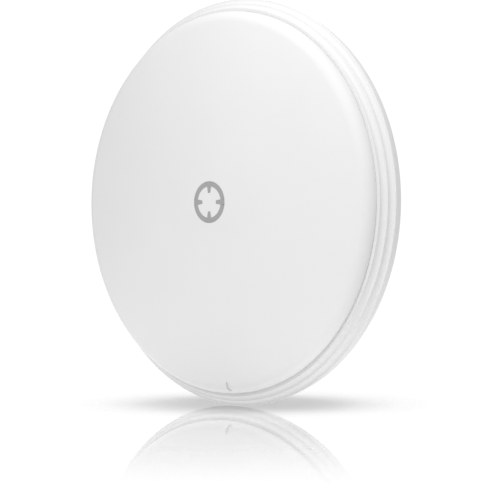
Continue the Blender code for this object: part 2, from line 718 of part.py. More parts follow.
def make_reset_button(frame, surfaces):
    outline = [(0, -26.0), (1.5, -26.0), (1.8, -25.6), (1.8, -21.2), (2.8, -21.2), (2.8, -20.2), (1.2, -20.2)]
    outline += [(1.2, -6.4), (0, -6.4)]
    place = along((0, 0, 1), RESET_X, RESET_STATION, 0)
    turned("reset_button", frame, surfaces["black"], outline, 12, place)


# Pole mount


def make_pole_bracket(frame, surfaces):
    """A pressed U with its ears towards the dish; it carries the pivot and the lock bolts."""
    rear = SADDLE_FRONT - GAP
    front = rear - 3.0
    outside = POLE_EAR_OUTSIDE
    inside = POLE_EAR_INSIDE
    profile = [(-outside, rear), (-outside, 94.0), (-inside, 94.0), (-inside, front)]
    profile += [(inside, front), (inside, 94.0), (outside, 94.0), (outside, rear)]
    made = prism("pole_bracket", frame, surfaces["steel"], profile, -36.0, 36.0, "z")
    ear = circle_points((PIVOT_STATION, 0), 13.0) + circle_points((PIVOT_STATION, LOCK_RADIUS), 9.0)
    ear += [(rear + 1, -36.0), (rear + 1, 36.0), (front, -36.0), (front, 36.0)]
    mesh_data = bmesh.new()
    extrude_into(mesh_data, hull(ear), -50.0, 50.0, "x")
    cut(made, cutter("pole_bracket_shape", frame, mesh_data), "INTERSECT")
    cut(made, drill("pivot_drill", frame, (1, 0, 0), [(0, PIVOT_STATION, 0)], 4.3, -60.0, 60.0, 24))
    cut(made, drill("lock_drill", frame, (1, 0, 0), [(0, PIVOT_STATION, LOCK_RADIUS)], 3.3, -60.0, 60.0))
    cut(made, drill("saddle_screw_drill", frame, (0, 1, 0), saddle_screw_places(), 2.8, front - 2, rear + 2))
    return made


def saddle_screw_places():
    return [(-18.0, 0, 18.0), (18.0, 0, -18.0)]


def make_tilt_fasteners(frame, surfaces):
    steel = surfaces["stainless"]
    start = HEAD_EAR_OUTSIDE + GAP
    place = along((1, 0, 0), start, PIVOT_STATION, 0)
    fastener("pivot_bolt", frame, steel, place, 4.0, 2 * start + 9.0, 6.5, 5.3, True)
    nut("pivot_nut", frame, steel, along((-1, 0, 0), -start, PIVOT_STATION, 0), 4.3, 6.5, 6.5)
    for side, word in ((-1, "left"), (1, "right")):
        outward = (side, 0, 0)
        place = along(outward, side * start, PIVOT_STATION, LOCK_RADIUS)
        washer(f"lock_washer_{word}", frame, steel, place, 3.3, 7.5, 1.2)
        place = along(outward, side * (start + 1.5), PIVOT_STATION, LOCK_RADIUS)
        fastener(f"lock_bolt_{word}", frame, steel, place, 3.0, 15.5, 5.0, 4.0, True)
        place = along((-side, 0, 0), side * (POLE_EAR_INSIDE - GAP), PIVOT_STATION, LOCK_RADIUS)
        nut(f"lock_nut_{word}", frame, steel, place, 3.3, 5.0, 5.0)


def vee_station(x, direction):
    """Station of a V's flank at x; the pole touches both flanks at 45 degrees."""
    return POLE_AXIS_STATION + direction * (POLE_RADIUS * math.sqrt(2) - abs(x))


def make_pole_saddle(frame, surfaces):
    """A cast V that the pole lies in, with a pocket for the head of each clamp bolt."""
    wing = POLE_AXIS_STATION - 14.0
    land = vee_station(24.0, -1)
    right = [(41.4, SADDLE_FRONT), (41.4, wing), (28.0, wing), (28.0, land), (24.0, land), (9.0, vee_station(9.0, -1))]
    outline = right + [(-x, station) for x, station in reversed(right)]
    made = prism("pole_saddle", frame, surfaces["cast"], outline, -30.0, 30.0, "z")
    bolts = [(side * CLAMP_BOLT_X, 0, 0) for side in (-1, 1)]
    cut(made, stepped_drill(frame, bolts, SADDLE_FRONT + 4.6, wing + 2))
    cut(made, drill("saddle_drill", frame, (0, 1, 0), saddle_screw_places(), 2.8, SADDLE_FRONT - 2, 133.0))
    for word, (x, _, z) in zip(("upper", "lower"), saddle_screw_places()):
        place = along((0, -1, 0), x, SADDLE_FRONT - 3.6, z)
        fastener(f"saddle_screw_{word}", frame, surfaces["stainless"], place, 2.5, 11.5, 4.2, 3.0, False, 1.8)


def stepped_drill(frame, places, step_station, end):
    """Cuts each clamp bolt's hole with the hexagonal pocket for its head in front."""
    start = SADDLE_FRONT - 2
    outline = [(0, start, False), (5.3, start, True), (5.3, step_station, True)]
    outline += [(3.3, step_station, False), (3.3, end, False), (0, end, False)]
    mesh_data = bmesh.new()
    for x, station, z in places:
        turn_into(mesh_data, outline, FASTENER_STEPS, along((0, 1, 0), x, station, z))
    return cutter("stepped_drill", frame, mesh_data)


def make_clamp_bolts(frame, surfaces):
    for side, word in ((-1, "left"), (1, "right")):
        head = SADDLE_FRONT + GAP + 4.0
        place = along((0, -1, 0), side * CLAMP_BOLT_X, head, 0)
        name = f"clamp_bolt_{word}"
        fastener(name, frame, surfaces["stainless"], place, 3.0, CLAMP_BOLT_END - head, 5.0, 4.0, True)


def make_clamp_jaw(frame, surfaces):
    """The rear half of the clamp: a bent V with a wing for each bolt, and the nuts behind the wings."""
    wing_front = POLE_AXIS_STATION + 6.0
    wing_rear = wing_front + 5.0
    thickness = 4.2 * math.sqrt(2)
    flank_foot = POLE_AXIS_STATION + POLE_RADIUS * math.sqrt(2) + thickness - wing_rear
    right = [(41.0, wing_front), (41.0, wing_rear), (flank_foot, wing_rear)]
    right.append((11.0, vee_station(11.0, 1) + thickness))
    inner = [(28.0, vee_station(28.0, 1)), (9.0, vee_station(9.0, 1))]
    outline = right + [(-x, station) for x, station in reversed(right)]
    outline += [(-x, station) for x, station in inner] + [(x, station) for x, station in reversed(inner)]
    made = prism("clamp_jaw", frame, surfaces["cast"], outline, -20.0, 20.0, "z")
    bolts = [(side * CLAMP_BOLT_X, 0, 0) for side in (-1, 1)]
    cut(made, drill("jaw_drill", frame, (0, 1, 0), bolts, 3.3, wing_front - 2, wing_rear + 2))
    for side, word in ((-1, "left"), (1, "right")):
        place = along((0, 1, 0), side * CLAMP_BOLT_X, wing_rear + GAP, 0)
        nut(f"clamp_nut_{word}", frame, surfaces["stainless"], place, 3.3, 5.0, 5.0)


def build():
    for thing in list(bpy.data.objects):
        bpy.data.objects.remove(thing, do_unlink=True)
    surfaces = make_materials()

    mount = Frame("pole_axis", 0, POLE_AXIS_STATION, 0)
    make_pole_bracket(mount, surfaces)
    make_pole_saddle(mount, surfaces)
    make_tilt_fasteners(mount, surfaces)
    make_clamp_bolts(mount, surfaces)

    jaw = Frame("jaw_slide_axis", 0, POLE_AXIS_STATION + 6.0, 0, mount)
    make_clamp_jaw(jaw, surfaces)

    head = Frame("elevation_axis", 0, PIVOT_STATION, 0, mount)
    make_cover(head, surfaces)
    make_aim_mark(head, surfaces)
    make_rim(head, surfaces)
    make_rim_fittings(head, surfaces)
    make_dish(head, surfaces)
    make_hub(head, surfaces)
    make_head_bracket(head, surfaces)
    make_feed(head, surfaces)
    make_radio(head, surfaces)
    make_housing(head, surfaces)

    door = Frame("port_door_axis", 0, 101.2, -38.0, head)
    make_port_door(door, surfaces)
    button = Frame("reset_axis", RESET_X, RESET_STATION, -26.0, head)
    make_reset_button(button, surfaces)


build()
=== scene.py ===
import json
import math

import bmesh
import bpy
from mathutils import Matrix, Vector

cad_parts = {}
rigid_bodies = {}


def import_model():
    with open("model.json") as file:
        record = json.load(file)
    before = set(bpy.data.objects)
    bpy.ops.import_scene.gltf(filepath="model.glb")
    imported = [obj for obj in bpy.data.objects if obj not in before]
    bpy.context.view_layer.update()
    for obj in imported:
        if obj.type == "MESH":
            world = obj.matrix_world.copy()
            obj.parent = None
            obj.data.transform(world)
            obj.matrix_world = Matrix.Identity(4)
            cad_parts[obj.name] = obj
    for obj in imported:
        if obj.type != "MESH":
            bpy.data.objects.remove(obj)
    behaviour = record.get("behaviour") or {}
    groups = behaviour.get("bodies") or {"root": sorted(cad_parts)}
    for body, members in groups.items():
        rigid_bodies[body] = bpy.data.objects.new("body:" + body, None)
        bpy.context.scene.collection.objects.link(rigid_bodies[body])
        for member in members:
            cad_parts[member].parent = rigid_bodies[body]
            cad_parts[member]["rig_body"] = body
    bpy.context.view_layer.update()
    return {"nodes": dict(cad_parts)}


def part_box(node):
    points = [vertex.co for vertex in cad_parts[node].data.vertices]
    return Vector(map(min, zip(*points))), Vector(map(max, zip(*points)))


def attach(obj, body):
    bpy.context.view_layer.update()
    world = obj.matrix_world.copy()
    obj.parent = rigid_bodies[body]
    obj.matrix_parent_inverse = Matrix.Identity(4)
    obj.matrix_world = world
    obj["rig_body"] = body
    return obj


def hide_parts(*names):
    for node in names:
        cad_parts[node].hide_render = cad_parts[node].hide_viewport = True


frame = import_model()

# The finished look of the shrouded round dish antenna, built round its CAD frame.
# A place is (x, station, z) in millimetres, as in the CAD. Station is the distance behind the rim's rear
# edge, so it is below zero in front of that edge. Holes, bolts and nuts are given by their radius.

MM = 0.001
REAR_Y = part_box("rim_shroud")[1][1]
TO_ROW = Matrix.Translation((0, REAR_Y, 0)) @ Matrix.Scale(MM, 4)


def half_width(node):
    low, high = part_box(node)
    return (high[0] - low[0]) / 2 / MM


def station_range(node):
    low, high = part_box(node)
    return (low[1] - REAR_Y) / MM, (high[1] - REAR_Y) / MM


def height_range(node):
    low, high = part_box(node)
    return low[2] / MM, high[2] / MM


# Sizes that every piece shares, read from the frame
RIM_RADIUS = half_width("rim_shroud")
COVER_APEX = station_range("radome_cover")[0]
COVER_BEAD = 0.6
COVER_RADIUS = half_width("radome_cover") - COVER_BEAD
SKIRT_END = station_range("radome_cover")[1]
FLANGE_RADIUS = half_width("reflector_dish")
HUB_RADIUS = half_width("hub_plate")
HUB_REAR = station_range("hub_plate")[1]
HOUSING_FRONT, HOUSING_REAR = station_range("radio_housing")
HOUSING_BOTTOM, HOUSING_TOP = height_range("radio_housing")
HOUSING_HALF = half_width("radio_housing")
POLE_STATION = -REAR_Y / MM

# What several pieces share. A cutter runs PAST the faces that it cuts, or THROUGH both sides of a bracket.
REARWARD = (0, 1, 0)
FORWARD = (0, -1, 0)
SIDEWAYS = (1, 0, 0)
UPWARD = (0, 0, 1)
CONTACT_GAP = 0.3
PLATE = 3.0
PAST = 2.0
THROUGH = 60.0
M5_HOLE = 2.8
M6_HOLE = 3.3
M8_HOLE = 4.3
THREAD_DEPTH = 0.6
TURNED_STEPS = 288
MEDIUM_STEPS = 96
SMALL_STEPS = 48
BOLT_STEPS = 36

# Cover
SHOULDER_RADIUS = 12.9
SHOULDER_STATION = -25.7
COVER_WALL = 2.8
SNAP_STATION = -19.4
SKIRT_ROUND = 0.4
DOME_STEPS = 40
SHOULDER_STEPS = 24
NOTCH_ANGLE = math.radians(-86)
NOTCH_LENGTH = 11.5
NOTCH_WIDTH = 5.4
NOTCH_DEPTH = 2.0
NOTCH_LEAN = 0.22
MARK_INNER = 16.0
TICK_END = 9.5
TICK_HALF_WIDTH = 1.6
INK_FRONT = 0.10
INK_REAR = 0.01

# Rim
LIPS = 3
LIP_OUT = 5.0
LIP_BACK = 6.5
LAST_LIP_STATION = -11.7
COVE_RADIUS = 4.6
LIP_ROUND = 0.7
SEAM_GAP = 0.04
SEAM_ROUND = 0.35
RIM_TAIL = ((209.2, -7.0), (207.2, 0.0), (204.6, 0.0), (206.6, -9.0), (202.0, -9.0))
WEB_OUTER = 202.0
WEB_INNER = 193.0
WEB_FRONT = -14.6
WEB_REAR = -4.8
SNAP_GROOVE = ((0.0, 1.5), (0.65, 0.7), (0.7, 0.0), (0.65, -0.7), (0.0, -1.5))
RIM_SCREWS = 6
RIM_SCREW_CIRCLE = 197.5
RIM_SCREW_HOLE = 1.9
RIM_HOLE_STATIONS = (-12.5, -2.0)

# Reflector and hub
FOCAL_LENGTH = 112.0
APERTURE_RADIUS = 184.0
DISH_WALL = 1.5
DISH_HOLE = 27.3
FLANGE_STATION = -4.5
FLANGE_DEPTH = 3.7
FLANGE_SCREW_HOLE = 2.0
FLANGE_HOLE_STATIONS = (-8.0, 2.0)
HUB_HOLE_STATIONS = (60.0, 82.0)
DISH_STEPS = 44
VERTEX_STATION = FLANGE_STATION + APERTURE_RADIUS**2 / (4 * FOCAL_LENGTH)
HUB_BOLTS = ((32.0, 28.5), (-32.0, 28.5), (-32.0, -28.5), (32.0, -28.5))
HUB_BORE = 24.5
HUB_SEAT = ((HUB_BORE, 71.5), (27.5, 71.4))
HUB_EDGE_FRONT = 68.5
HUB_CHAMFER = 1.4
GROUND_PLACE = (0.0, 45.5)
GROUND_HOLE = 2.3
GROUND_HOLE_STATIONS = (71.0, 82.0)
TUBE_HOLE = 24.4

# Radio housing
HOUSING_CORNER = 5.0
HOUSING_EDGE = 2.6
HOUSING_SCREWS = ((21.3, 18.3), (-21.3, 18.3), (-21.6, -48.0), (21.6, -48.0))
HOUSING_SCREW_HOLE = 1.7
BOARD_ROOM = ((-22.6, -21.5), (22.6, -21.5), (22.6, 12.6), (15.6, 19.6), (-15.6, 19.6), (-22.6, 12.6))
BOARD_ROOM_STATIONS = (80.0, 99.6)
PORT_ROOM = (-16.5, 16.5, -51.6, -24.0)
PORT_ROOM_STATIONS = (86.0, 108.0)
DOOR_GROOVES = ((-18.8, 18.8), (100.9, 102.2), (-60.0, -21.0))
DOOR_WAY = ((-17.3, 17.3), (101.5, 108.0), (-60.0, -21.0))
JACK_WINDOW = ((-8.4, 8.4), (84.4, 99.2), (-26.0, -20.0))
LENS_WINDOW = ((-8.0, 8.0), (98.0, 106.0), (8.0, 11.0))
LENS_OUTLINE = (-7.7, 7.7, 8.3, 10.7)
LENS_STATIONS = (99.9, 103.8)
GROMMET_STATION = 93.2
GROMMET_HOLE = 5.3
GROMMET_HOLE_Z = (-58.0, -48.0)
GROMMET_RADII = (3.25, 5.0, 6.6)
GROMMET_LEVELS = (-55.8, -54.3, -51.3, -49.9)
DOOR_TONGUE = 18.5
DOOR_FACE = 17.0
DOOR_STATIONS = (101.2, 101.9, 103.3)
GRIP_GROOVES = 5
GRIP_PITCH = 2.4
GRIP_WIDTH = 1.2
GRIP_HALF = 9.0
GRIP_BOTTOM = -44.0
RESET_X = 12.5
RESET_STATION = 92.0
RESET_HOLE = 2.1
RESET_HOLE_Z = (-26.0, -20.0)
RESET_OUTLINE = (
    (0.0, -26.0), (1.5, -26.0), (1.8, -25.6), (1.8, -21.2), (2.8, -21.2), (2.8, -20.2), (1.2, -20.2),
    (1.2, -6.4), (0.0, -6.4),
)

# Tilting bracket and clamp
PIVOT_STATION = 108.0
LOCK_RADIUS = 26.0
TILT_LIMIT = math.radians(20)
PIVOT_EAR = 13.0
LOCK_EAR = 9.0
HEAD_ARM_END = 126.0
HEAD_ARM_TOP = 38.0
HEAD_EAR_FOOT = -30.0
HEAD_EAR_TOP = 37.0
HEAD_NOTCH_X = ((-51.0, -29.0), (29.0, 51.0))
HEAD_NOTCH_Z = (-60.0, -38.0)
POLE_ARM_END = 94.0
POLE_ARM_HALF_HEIGHT = 36.0
POLE_ARM_WALL = 3.3
POLE_RADIUS = 24.0
VEE_TIP = 9.0
SADDLE_FRONT = 124.3
SADDLE_HALF_HEIGHT = 30.0
SADDLE_WING = 14.0
SADDLE_STEP = 28.0
SADDLE_LAND = 24.0
SADDLE_SCREWS = ((-18.0, 18.0), (18.0, -18.0))
SADDLE_SCREW_END = 133.0
HEAD_POCKET = 5.3
HEAD_POCKET_DEPTH = 4.6
CLAMP_BOLT_X = 34.4
CLAMP_HEAD_DEPTH = 4.3
JAW_HALF_HEIGHT = 20.0
JAW_SHIFT = 6.0
JAW_WING = 5.0
JAW_WALL = 4.2
JAW_TIP = 11.0
JAW_MOUTH = 28.0

# Camera
CAMERA_AZIMUTH = math.radians(42.22)
CAMERA_ELEVATION = math.radians(0.38)
CAMERA_DISTANCE = 2.1
CAMERA_RIGHT = 0.00678
CAMERA_DOWN = 0.04905
LENS = 145.62

# Floor and light. A ramp holds (distance in metres, value). The floor's shade is painted on, not cast.
# FLOOR_BOUNCE and SKY_LEVEL are for the soft light that the floor and the room give, not for how they look.
FLOOR_Z = -0.2102
FLOOR_HALF = 9.0
FLOOR_TONE = 0.56
FLOOR_BOUNCE = 0.55
SHEEN_ROUGHNESS = 0.02
FLOOR_SHEEN = (
    (0.0, 0.28), (0.10, 0.34), (0.16, 0.60), (0.27, 0.78), (0.36, 0.72), (0.44, 0.63), (0.52, 0.48),
    (0.60, 0.26), (0.72, 0.0),
)
SHADE_CENTRE = (-0.013, 0.025, 0)
FLOOR_SHADE = (
    (0.0, 0.40), (0.06, 0.42), (0.08, 0.46), (0.105, 0.58), (0.13, 0.73), (0.16, 0.87), (0.20, 0.95),
    (0.26, 1.0),
)
WORLD_STRENGTH = 1.025
SKY_LEVEL = 0.685
OVERHEAD_STRENGTH = 3.62
# Each lamp: name, place in metres from the middle of the rim's rear edge, what it looks at, size and power
LAMPS = (
    ("key", (0.30, -0.60, 0.74), (0.05, -0.03, 0.12), 0.45, 5.0),
    ("top_right", (0.75, -0.45, 0.85), (0.05, 0.0, 0.10), 0.50, 2.7),
    ("low", (-0.06, -0.15, -0.60), (-0.02, -0.02, -0.20), 0.24, 0.90),
)


# Camera

scene = bpy.context.scene
scene.view_settings.view_transform = "Standard"

back = Vector((
    math.sin(CAMERA_AZIMUTH) * math.cos(CAMERA_ELEVATION),
    -math.cos(CAMERA_AZIMUTH) * math.cos(CAMERA_ELEVATION),
    math.sin(CAMERA_ELEVATION),
))
right = Vector((math.cos(CAMERA_AZIMUTH), math.sin(CAMERA_AZIMUTH), 0))
up = back.cross(right)
camera_data = bpy.data.cameras.new("camera")
camera_data.lens = LENS
camera_data.sensor_width = 36.0
camera_data.clip_start = 0.05
camera_data.clip_end = 60.0
camera = bpy.data.objects.new("camera", camera_data)
scene.collection.objects.link(camera)
place = Matrix((right, up, back)).transposed().to_4x4()
place.translation = Vector((0, REAR_Y, 0)) + back * CAMERA_DISTANCE + right * CAMERA_RIGHT - up * CAMERA_DOWN
camera.matrix_world = place
scene.camera = camera


# Materials


def ramp(tree, factor, stops):
    """The colour for a factor, from stops of (position, colour)."""
    node = tree.nodes.new("ShaderNodeValToRGB")
    points = node.color_ramp.elements
    while len(points) < len(stops):
        points.new(0.5)
    for point, (at, colour) in zip(points, stops):
        point.position = at
        point.color = (*colour, 1.0)
    tree.links.new(factor, node.inputs["Fac"])
    return node.outputs["Color"]


class Paint:
    """A material under construction: a Principled shader and nodes that feed it."""

    def __init__(self, name, roughness, metallic=0.0):
        self.name = name
        self.material = bpy.data.materials.new(name)
        self.material.use_nodes = True
        self.tree = self.material.node_tree
        self.shader = self.tree.nodes["Principled BSDF"]
        self.shader.inputs["Metallic"].default_value = metallic
        self.shader.inputs["Roughness"].default_value = roughness
        self.position = self.tree.nodes.new("ShaderNodeTexCoord").outputs["Object"]
        self.normal = None

    def link(self, output, socket):
        self.tree.links.new(output, socket)

    def mapped(self, stretch):
        node = self.tree.nodes.new("ShaderNodeMapping")
        node.inputs["Scale"].default_value = stretch
        self.link(self.position, node.inputs["Vector"])
        return node.outputs["Vector"]

    def noise(self, scale, detail=3.0, stretch=(1, 1, 1)):
        node = self.tree.nodes.new("ShaderNodeTexNoise")
        node.inputs["Scale"].default_value = scale
        node.inputs["Detail"].default_value = detail
        self.link(self.mapped(stretch), node.inputs["Vector"])
        return node.outputs["Fac"]

    def cells(self, scale, output="Color"):
        node = self.tree.nodes.new("ShaderNodeTexVoronoi")
        node.inputs["Scale"].default_value = scale
        self.link(self.mapped((1, 1, 1)), node.inputs["Vector"])
        return node.outputs[output]

    def colours(self, factor, stops):
        self.link(ramp(self.tree, factor, stops), self.shader.inputs["Base Color"])

    def roughness(self, factor, low, high):
        node = self.tree.nodes.new("ShaderNodeMapRange")
        node.inputs["To Min"].default_value = low
        node.inputs["To Max"].default_value = high
        self.link(factor, node.inputs["Value"])
        self.link(node.outputs["Result"], self.shader.inputs["Roughness"])

    def bump(self, height, strength, depth):
        node = self.tree.nodes.new("ShaderNodeBump")
        node.inputs["Strength"].default_value = strength
        node.inputs["Distance"].default_value = depth
        self.link(height, node.inputs["Height"])
        if self.normal:
            self.link(self.normal, node.inputs["Normal"])
        self.normal = node.outputs["Normal"]
        self.link(self.normal, self.shader.inputs["Normal"])


WHITE = 0.68


def grey(value, warmth=0.0):
    return (value + warmth, value, value - warmth)


def moulded(name, light, roughness, grain_depth):
    """Moulded plastic or rubber: a faint cloudiness and a fine spark-eroded grain."""
    paint = Paint(name, roughness)
    cloud = paint.noise(14, 4)
    paint.colours(cloud, [(0.3, [c * 0.985 for c in light]), (0.7, light)])
    grain = paint.noise(1500, 2)
    paint.roughness(grain, roughness - 0.05, roughness + 0.05)
    paint.bump(grain, 0.6, grain_depth)
    return paint


def metal(name, dark, light, roughness, scale, stretch=(1, 1, 1), depth=0.000008):
    """A metal with a grain that mottles its colour and roughness; stretch draws the grain out."""
    paint = Paint(name, roughness, 1.0)
    grain = paint.noise(scale, 5, stretch)
    paint.colours(grain, [(0.3, dark), (0.7, light)])
    paint.roughness(grain, roughness - 0.08, roughness + 0.08)
    paint.bump(grain, 0.5, depth)
    return paint


def powder_coat():
    """White paint on metal: the moulding's grain with the orange peel of a powder coat over it."""
    paint = moulded("white_painted_metal", grey(WHITE * 1.02), roughness=0.40, grain_depth=0.000005)
    paint.bump(paint.noise(420, 1), strength=0.35, depth=0.00002)
    return paint


def sand_cast():
    paint = metal("cast_aluminium", grey(0.40), grey(0.56), roughness=0.50, scale=260, depth=0.00002)
    paint.bump(paint.cells(900, "Distance"), strength=0.5, depth=0.00003)
    return paint


def spangled_zinc():
    paint = Paint("galvanised_steel", roughness=0.42, metallic=1.0)
    spangle = paint.cells(150)
    paint.colours(spangle, [(0.15, grey(0.40, -0.008)), (0.5, grey(0.50)), (0.9, grey(0.62, -0.006))])
    paint.roughness(spangle, 0.32, 0.52)
    paint.bump(paint.noise(500, 3), strength=0.4, depth=0.000012)
    return paint


def circuit_board():
    """Green solder mask over a fine pattern of tracks."""
    paint = Paint("green_board", roughness=0.42)
    tracks = paint.tree.nodes.new("ShaderNodeTexBrick")
    tracks.inputs["Scale"].default_value = 130
    tracks.inputs["Mortar Size"].default_value = 0.035
    tracks.inputs["Color1"].default_value = (0.012, 0.13, 0.05, 1)
    tracks.inputs["Color2"].default_value = (0.016, 0.16, 0.065, 1)
    tracks.inputs["Mortar"].default_value = (0.05, 0.26, 0.11, 1)
    paint.link(paint.mapped((1, 0.6, 1)), tracks.inputs["Vector"])
    paint.link(tracks.outputs["Color"], paint.shader.inputs["Base Color"])
    paint.bump(tracks.outputs["Fac"], strength=0.4, depth=0.00003)
    return paint


def clear_lens():
    paint = moulded("clear_lens", (0.62, 0.70, 0.76), roughness=0.16, grain_depth=0.000005)
    paint.shader.inputs["Transmission Weight"].default_value = 0.55
    paint.shader.inputs["IOR"].default_value = 1.49
    return paint


def make_materials():
    steel_dark = grey(0.50, 0.006)
    steel_light = grey(0.62, 0.006)
    paints = [
        moulded("white_plastic", grey(WHITE), roughness=0.46, grain_depth=0.000006),
        moulded("grey_ink", grey(0.31), roughness=0.5, grain_depth=0.000005),
        moulded("seal_rubber", grey(0.022), roughness=0.78, grain_depth=0.00003),
        moulded("black_plastic", grey(0.025), roughness=0.45, grain_depth=0.00003),
        powder_coat(),
        sand_cast(),
        spangled_zinc(),
        metal("bare_aluminium", grey(0.66), grey(0.76), roughness=0.34, scale=160, stretch=(1, 12, 1)),
        metal("stainless_steel", steel_dark, steel_light, roughness=0.30, scale=220, stretch=(6, 6, 1)),
        metal("tinned_steel", grey(0.60), grey(0.72, 0.005), roughness=0.32, scale=90),
        circuit_board(),
        clear_lens(),
    ]
    return {paint.name: paint.material for paint in paints}


MATERIALS = make_materials()


# Outlines: lists of flat points


def arc(centre, radius, start, end, steps):
    points = []
    for step in range(steps + 1):
        angle = start + (end - start) * step / steps
        points.append((centre[0] + radius * math.cos(angle), centre[1] + radius * math.sin(angle)))
    return points


def eased(points, radius, steps=4, closed=True):
    """The same outline with its corners rounded; radius is one size, or a size for each corner to round."""
    count = len(points)
    result = []
    for index, point in enumerate(points):
        here = Vector(point[:2])
        on_end = not closed and index in (0, count - 1)
        size = radius.get(index, 0) if isinstance(radius, dict) else radius
        if on_end or not size:
            result.append(tuple(here))
            continue
        before = Vector(points[index - 1][:2]) - here
        after = Vector(points[(index + 1) % count][:2]) - here
        reach = min(size, before.length * 0.45, after.length * 0.45)
        if reach < 0.01 or before.angle(after) > math.radians(172):
            result.append(tuple(here))
            continue
        start = here + before.normalized() * reach
        end = here + after.normalized() * reach
        for step in range(steps + 1):
            t = step / steps
            result.append(tuple(start * (1 - t) ** 2 + here * 2 * t * (1 - t) + end * t**2))
    return result


def rectangle(low_a, high_a, low_b, high_b):
    return [(low_a, low_b), (high_a, low_b), (high_a, high_b), (low_a, high_b)]


def mirrored(side):
    """A whole outline from its points on one side of x = 0."""
    return side + [(-x, other) for x, other in reversed(side)]


def rounded_rectangle(low_x, high_x, low_z, high_z, radius, steps=8):
    points = []
    quarter = math.pi / 2
    corners = [(high_x, high_z), (low_x, high_z), (low_x, low_z), (high_x, low_z)]
    for index, (corner_x, corner_z) in enumerate(corners):
        centre_x = corner_x - math.copysign(radius, corner_x - (low_x + high_x) / 2)
        centre_z = corner_z - math.copysign(radius, corner_z - (low_z + high_z) / 2)
        points += arc((centre_x, centre_z), radius, index * quarter, (index + 1) * quarter, steps)
    return points


def hull(points):
    ordered = sorted(set(points))
    sides = []
    for run in (ordered, ordered[::-1]):
        side = []
        for point in run:
            while len(side) > 1 and turns_right(side[-2], side[-1], point):
                side.pop()
            side.append(point)
        sides += side[:-1]
    return sides


def turns_right(first, second, third):
    across = (second[0] - first[0]) * (third[1] - first[1])
    return across - (second[1] - first[1]) * (third[0] - first[0]) <= 1e-6


def circle(centre, radius):
    return arc(centre, radius, 0, 2 * math.pi, SMALL_STEPS)[:-1]


# Mesh making, in millimetres


def along(axis, x=0.0, station=0.0, z=0.0):
    turn = Vector((0, 0, 1)).rotation_difference(Vector(axis)).to_matrix().to_4x4()
    return Matrix.Translation((x, station, z)) @ turn


def hex_radius(flat, angle):
    return flat / math.cos((angle + math.radians(30)) % math.radians(60) - math.radians(30))


def reach_at(radius, height, shape, angle):
    """A ring's radius at an angle: round, hexagonal, hexagonal but cut by a cone, or on a thread."""
    if shape == "round":
        return radius
    if shape == "hex":
        return hex_radius(radius, angle)
    kind, value = shape
    if kind == "cone":
        return min(hex_radius(radius, angle), value)
    turn = (height / value + angle / (2 * math.pi)) % 1.0
    return radius - THREAD_DEPTH * value * abs(2 * turn - 1)


def turn_into(mesh_data, outline, steps, place):
    """Turns rings of (radius, height, shape) round +Z; place puts the result in position."""
    loops = []
    for radius, height, shape in outline:
        if radius == 0:
            loops.append([mesh_data.verts.new(place @ Vector((0, 0, height)))])
            continue
        loop = []
        for step in range(steps):
            angle = 2 * math.pi * step / steps
            reach = reach_at(radius, height, shape, angle)
            point = Vector((reach * math.cos(angle), reach * math.sin(angle), height))
            loop.append(mesh_data.verts.new(place @ point))
        loops.append(loop)
    pairs = list(zip(loops, loops[1:]))
    if outline[0][0] != 0:
        pairs.append((loops[-1], loops[0]))
    for first, second in pairs:
        for step in range(steps):
            after = (step + 1) % steps
            corners = [first[step % len(first)], first[after % len(first)]]
            corners += [second[after % len(second)], second[step % len(second)]]
            mesh_data.faces.new(list(dict.fromkeys(corners)))


def extrude_into(mesh_data, outline, low, high, normal):
    """Extrudes (station, z) along x, (x, z) along y or (x, station) along z."""
    order = {"x": (2, 0, 1), "y": (0, 2, 1), "z": (0, 1, 2)}[normal]
    loops = []
    for level in (low, high):
        loop = []
        for first, second in outline:
            values = (first, second, level)
            loop.append([values[index] for index in order])
        loops.append(loop)
    loft_into(mesh_data, loops)


def loft_into(mesh_data, loops):
    """Joins loops of equal length into a closed body."""
    rows = [[mesh_data.verts.new(point) for point in loop] for loop in loops]
    count = len(rows[0])
    mesh_data.faces.new(rows[0])
    mesh_data.faces.new(rows[-1][::-1])
    for first, second in zip(rows, rows[1:]):
        for step in range(count):
            after = (step + 1) % count
            mesh_data.faces.new((first[step], second[step], second[after], first[after]))


def close_up(mesh_data):
    bmesh.ops.recalc_face_normals(mesh_data, faces=mesh_data.faces)
    if mesh_data.calc_volume(signed=True) < 0:
        bmesh.ops.reverse_faces(mesh_data, faces=mesh_data.faces)
    mesh_data.transform(TO_ROW)


def to_object(mesh_data, name):
    close_up(mesh_data)
    mesh = bpy.data.meshes.new(name)
    mesh_data.to_mesh(mesh)
    mesh_data.free()
    made = bpy.data.objects.new(name, mesh)
    scene.collection.objects.link(made)
    return made


def cut(target, tool, operation="DIFFERENCE"):
    """Cuts target with tool for good, and removes the tool."""
    step = target.modifiers.new("cut", "BOOLEAN")
    step.operation = operation
    step.object = tool
    step.solver = "EXACT"
    settle(target)
    bpy.data.objects.remove(tool, do_unlink=True)


def settle(target):
    """Applies the modifiers of target."""
    bpy.context.view_layer.update()
    shape = target.evaluated_get(bpy.context.evaluated_depsgraph_get())
    mesh = bpy.data.meshes.new_from_object(shape)
    target.modifiers.clear()
    target.data = mesh


def drilled(places, radius, stations):
    """Round bits along the dish's axis at places (x, z), each over the same range of stations."""
    return [(REARWARD, (x, 0, z), radius, *stations) for x, z in places]


def bits(specs):
    """One cutter from (axis, (x, station, z), radius, low, high) round bits."""
    mesh_data = bmesh.new()
    for axis, spot, radius, low, high in specs:
        rings = [(0, low, "round"), (radius, low, "round"), (radius, high, "round"), (0, high, "round")]
        turn_into(mesh_data, rings, SMALL_STEPS, along(axis, *spot))
    return to_object(mesh_data, "bits")


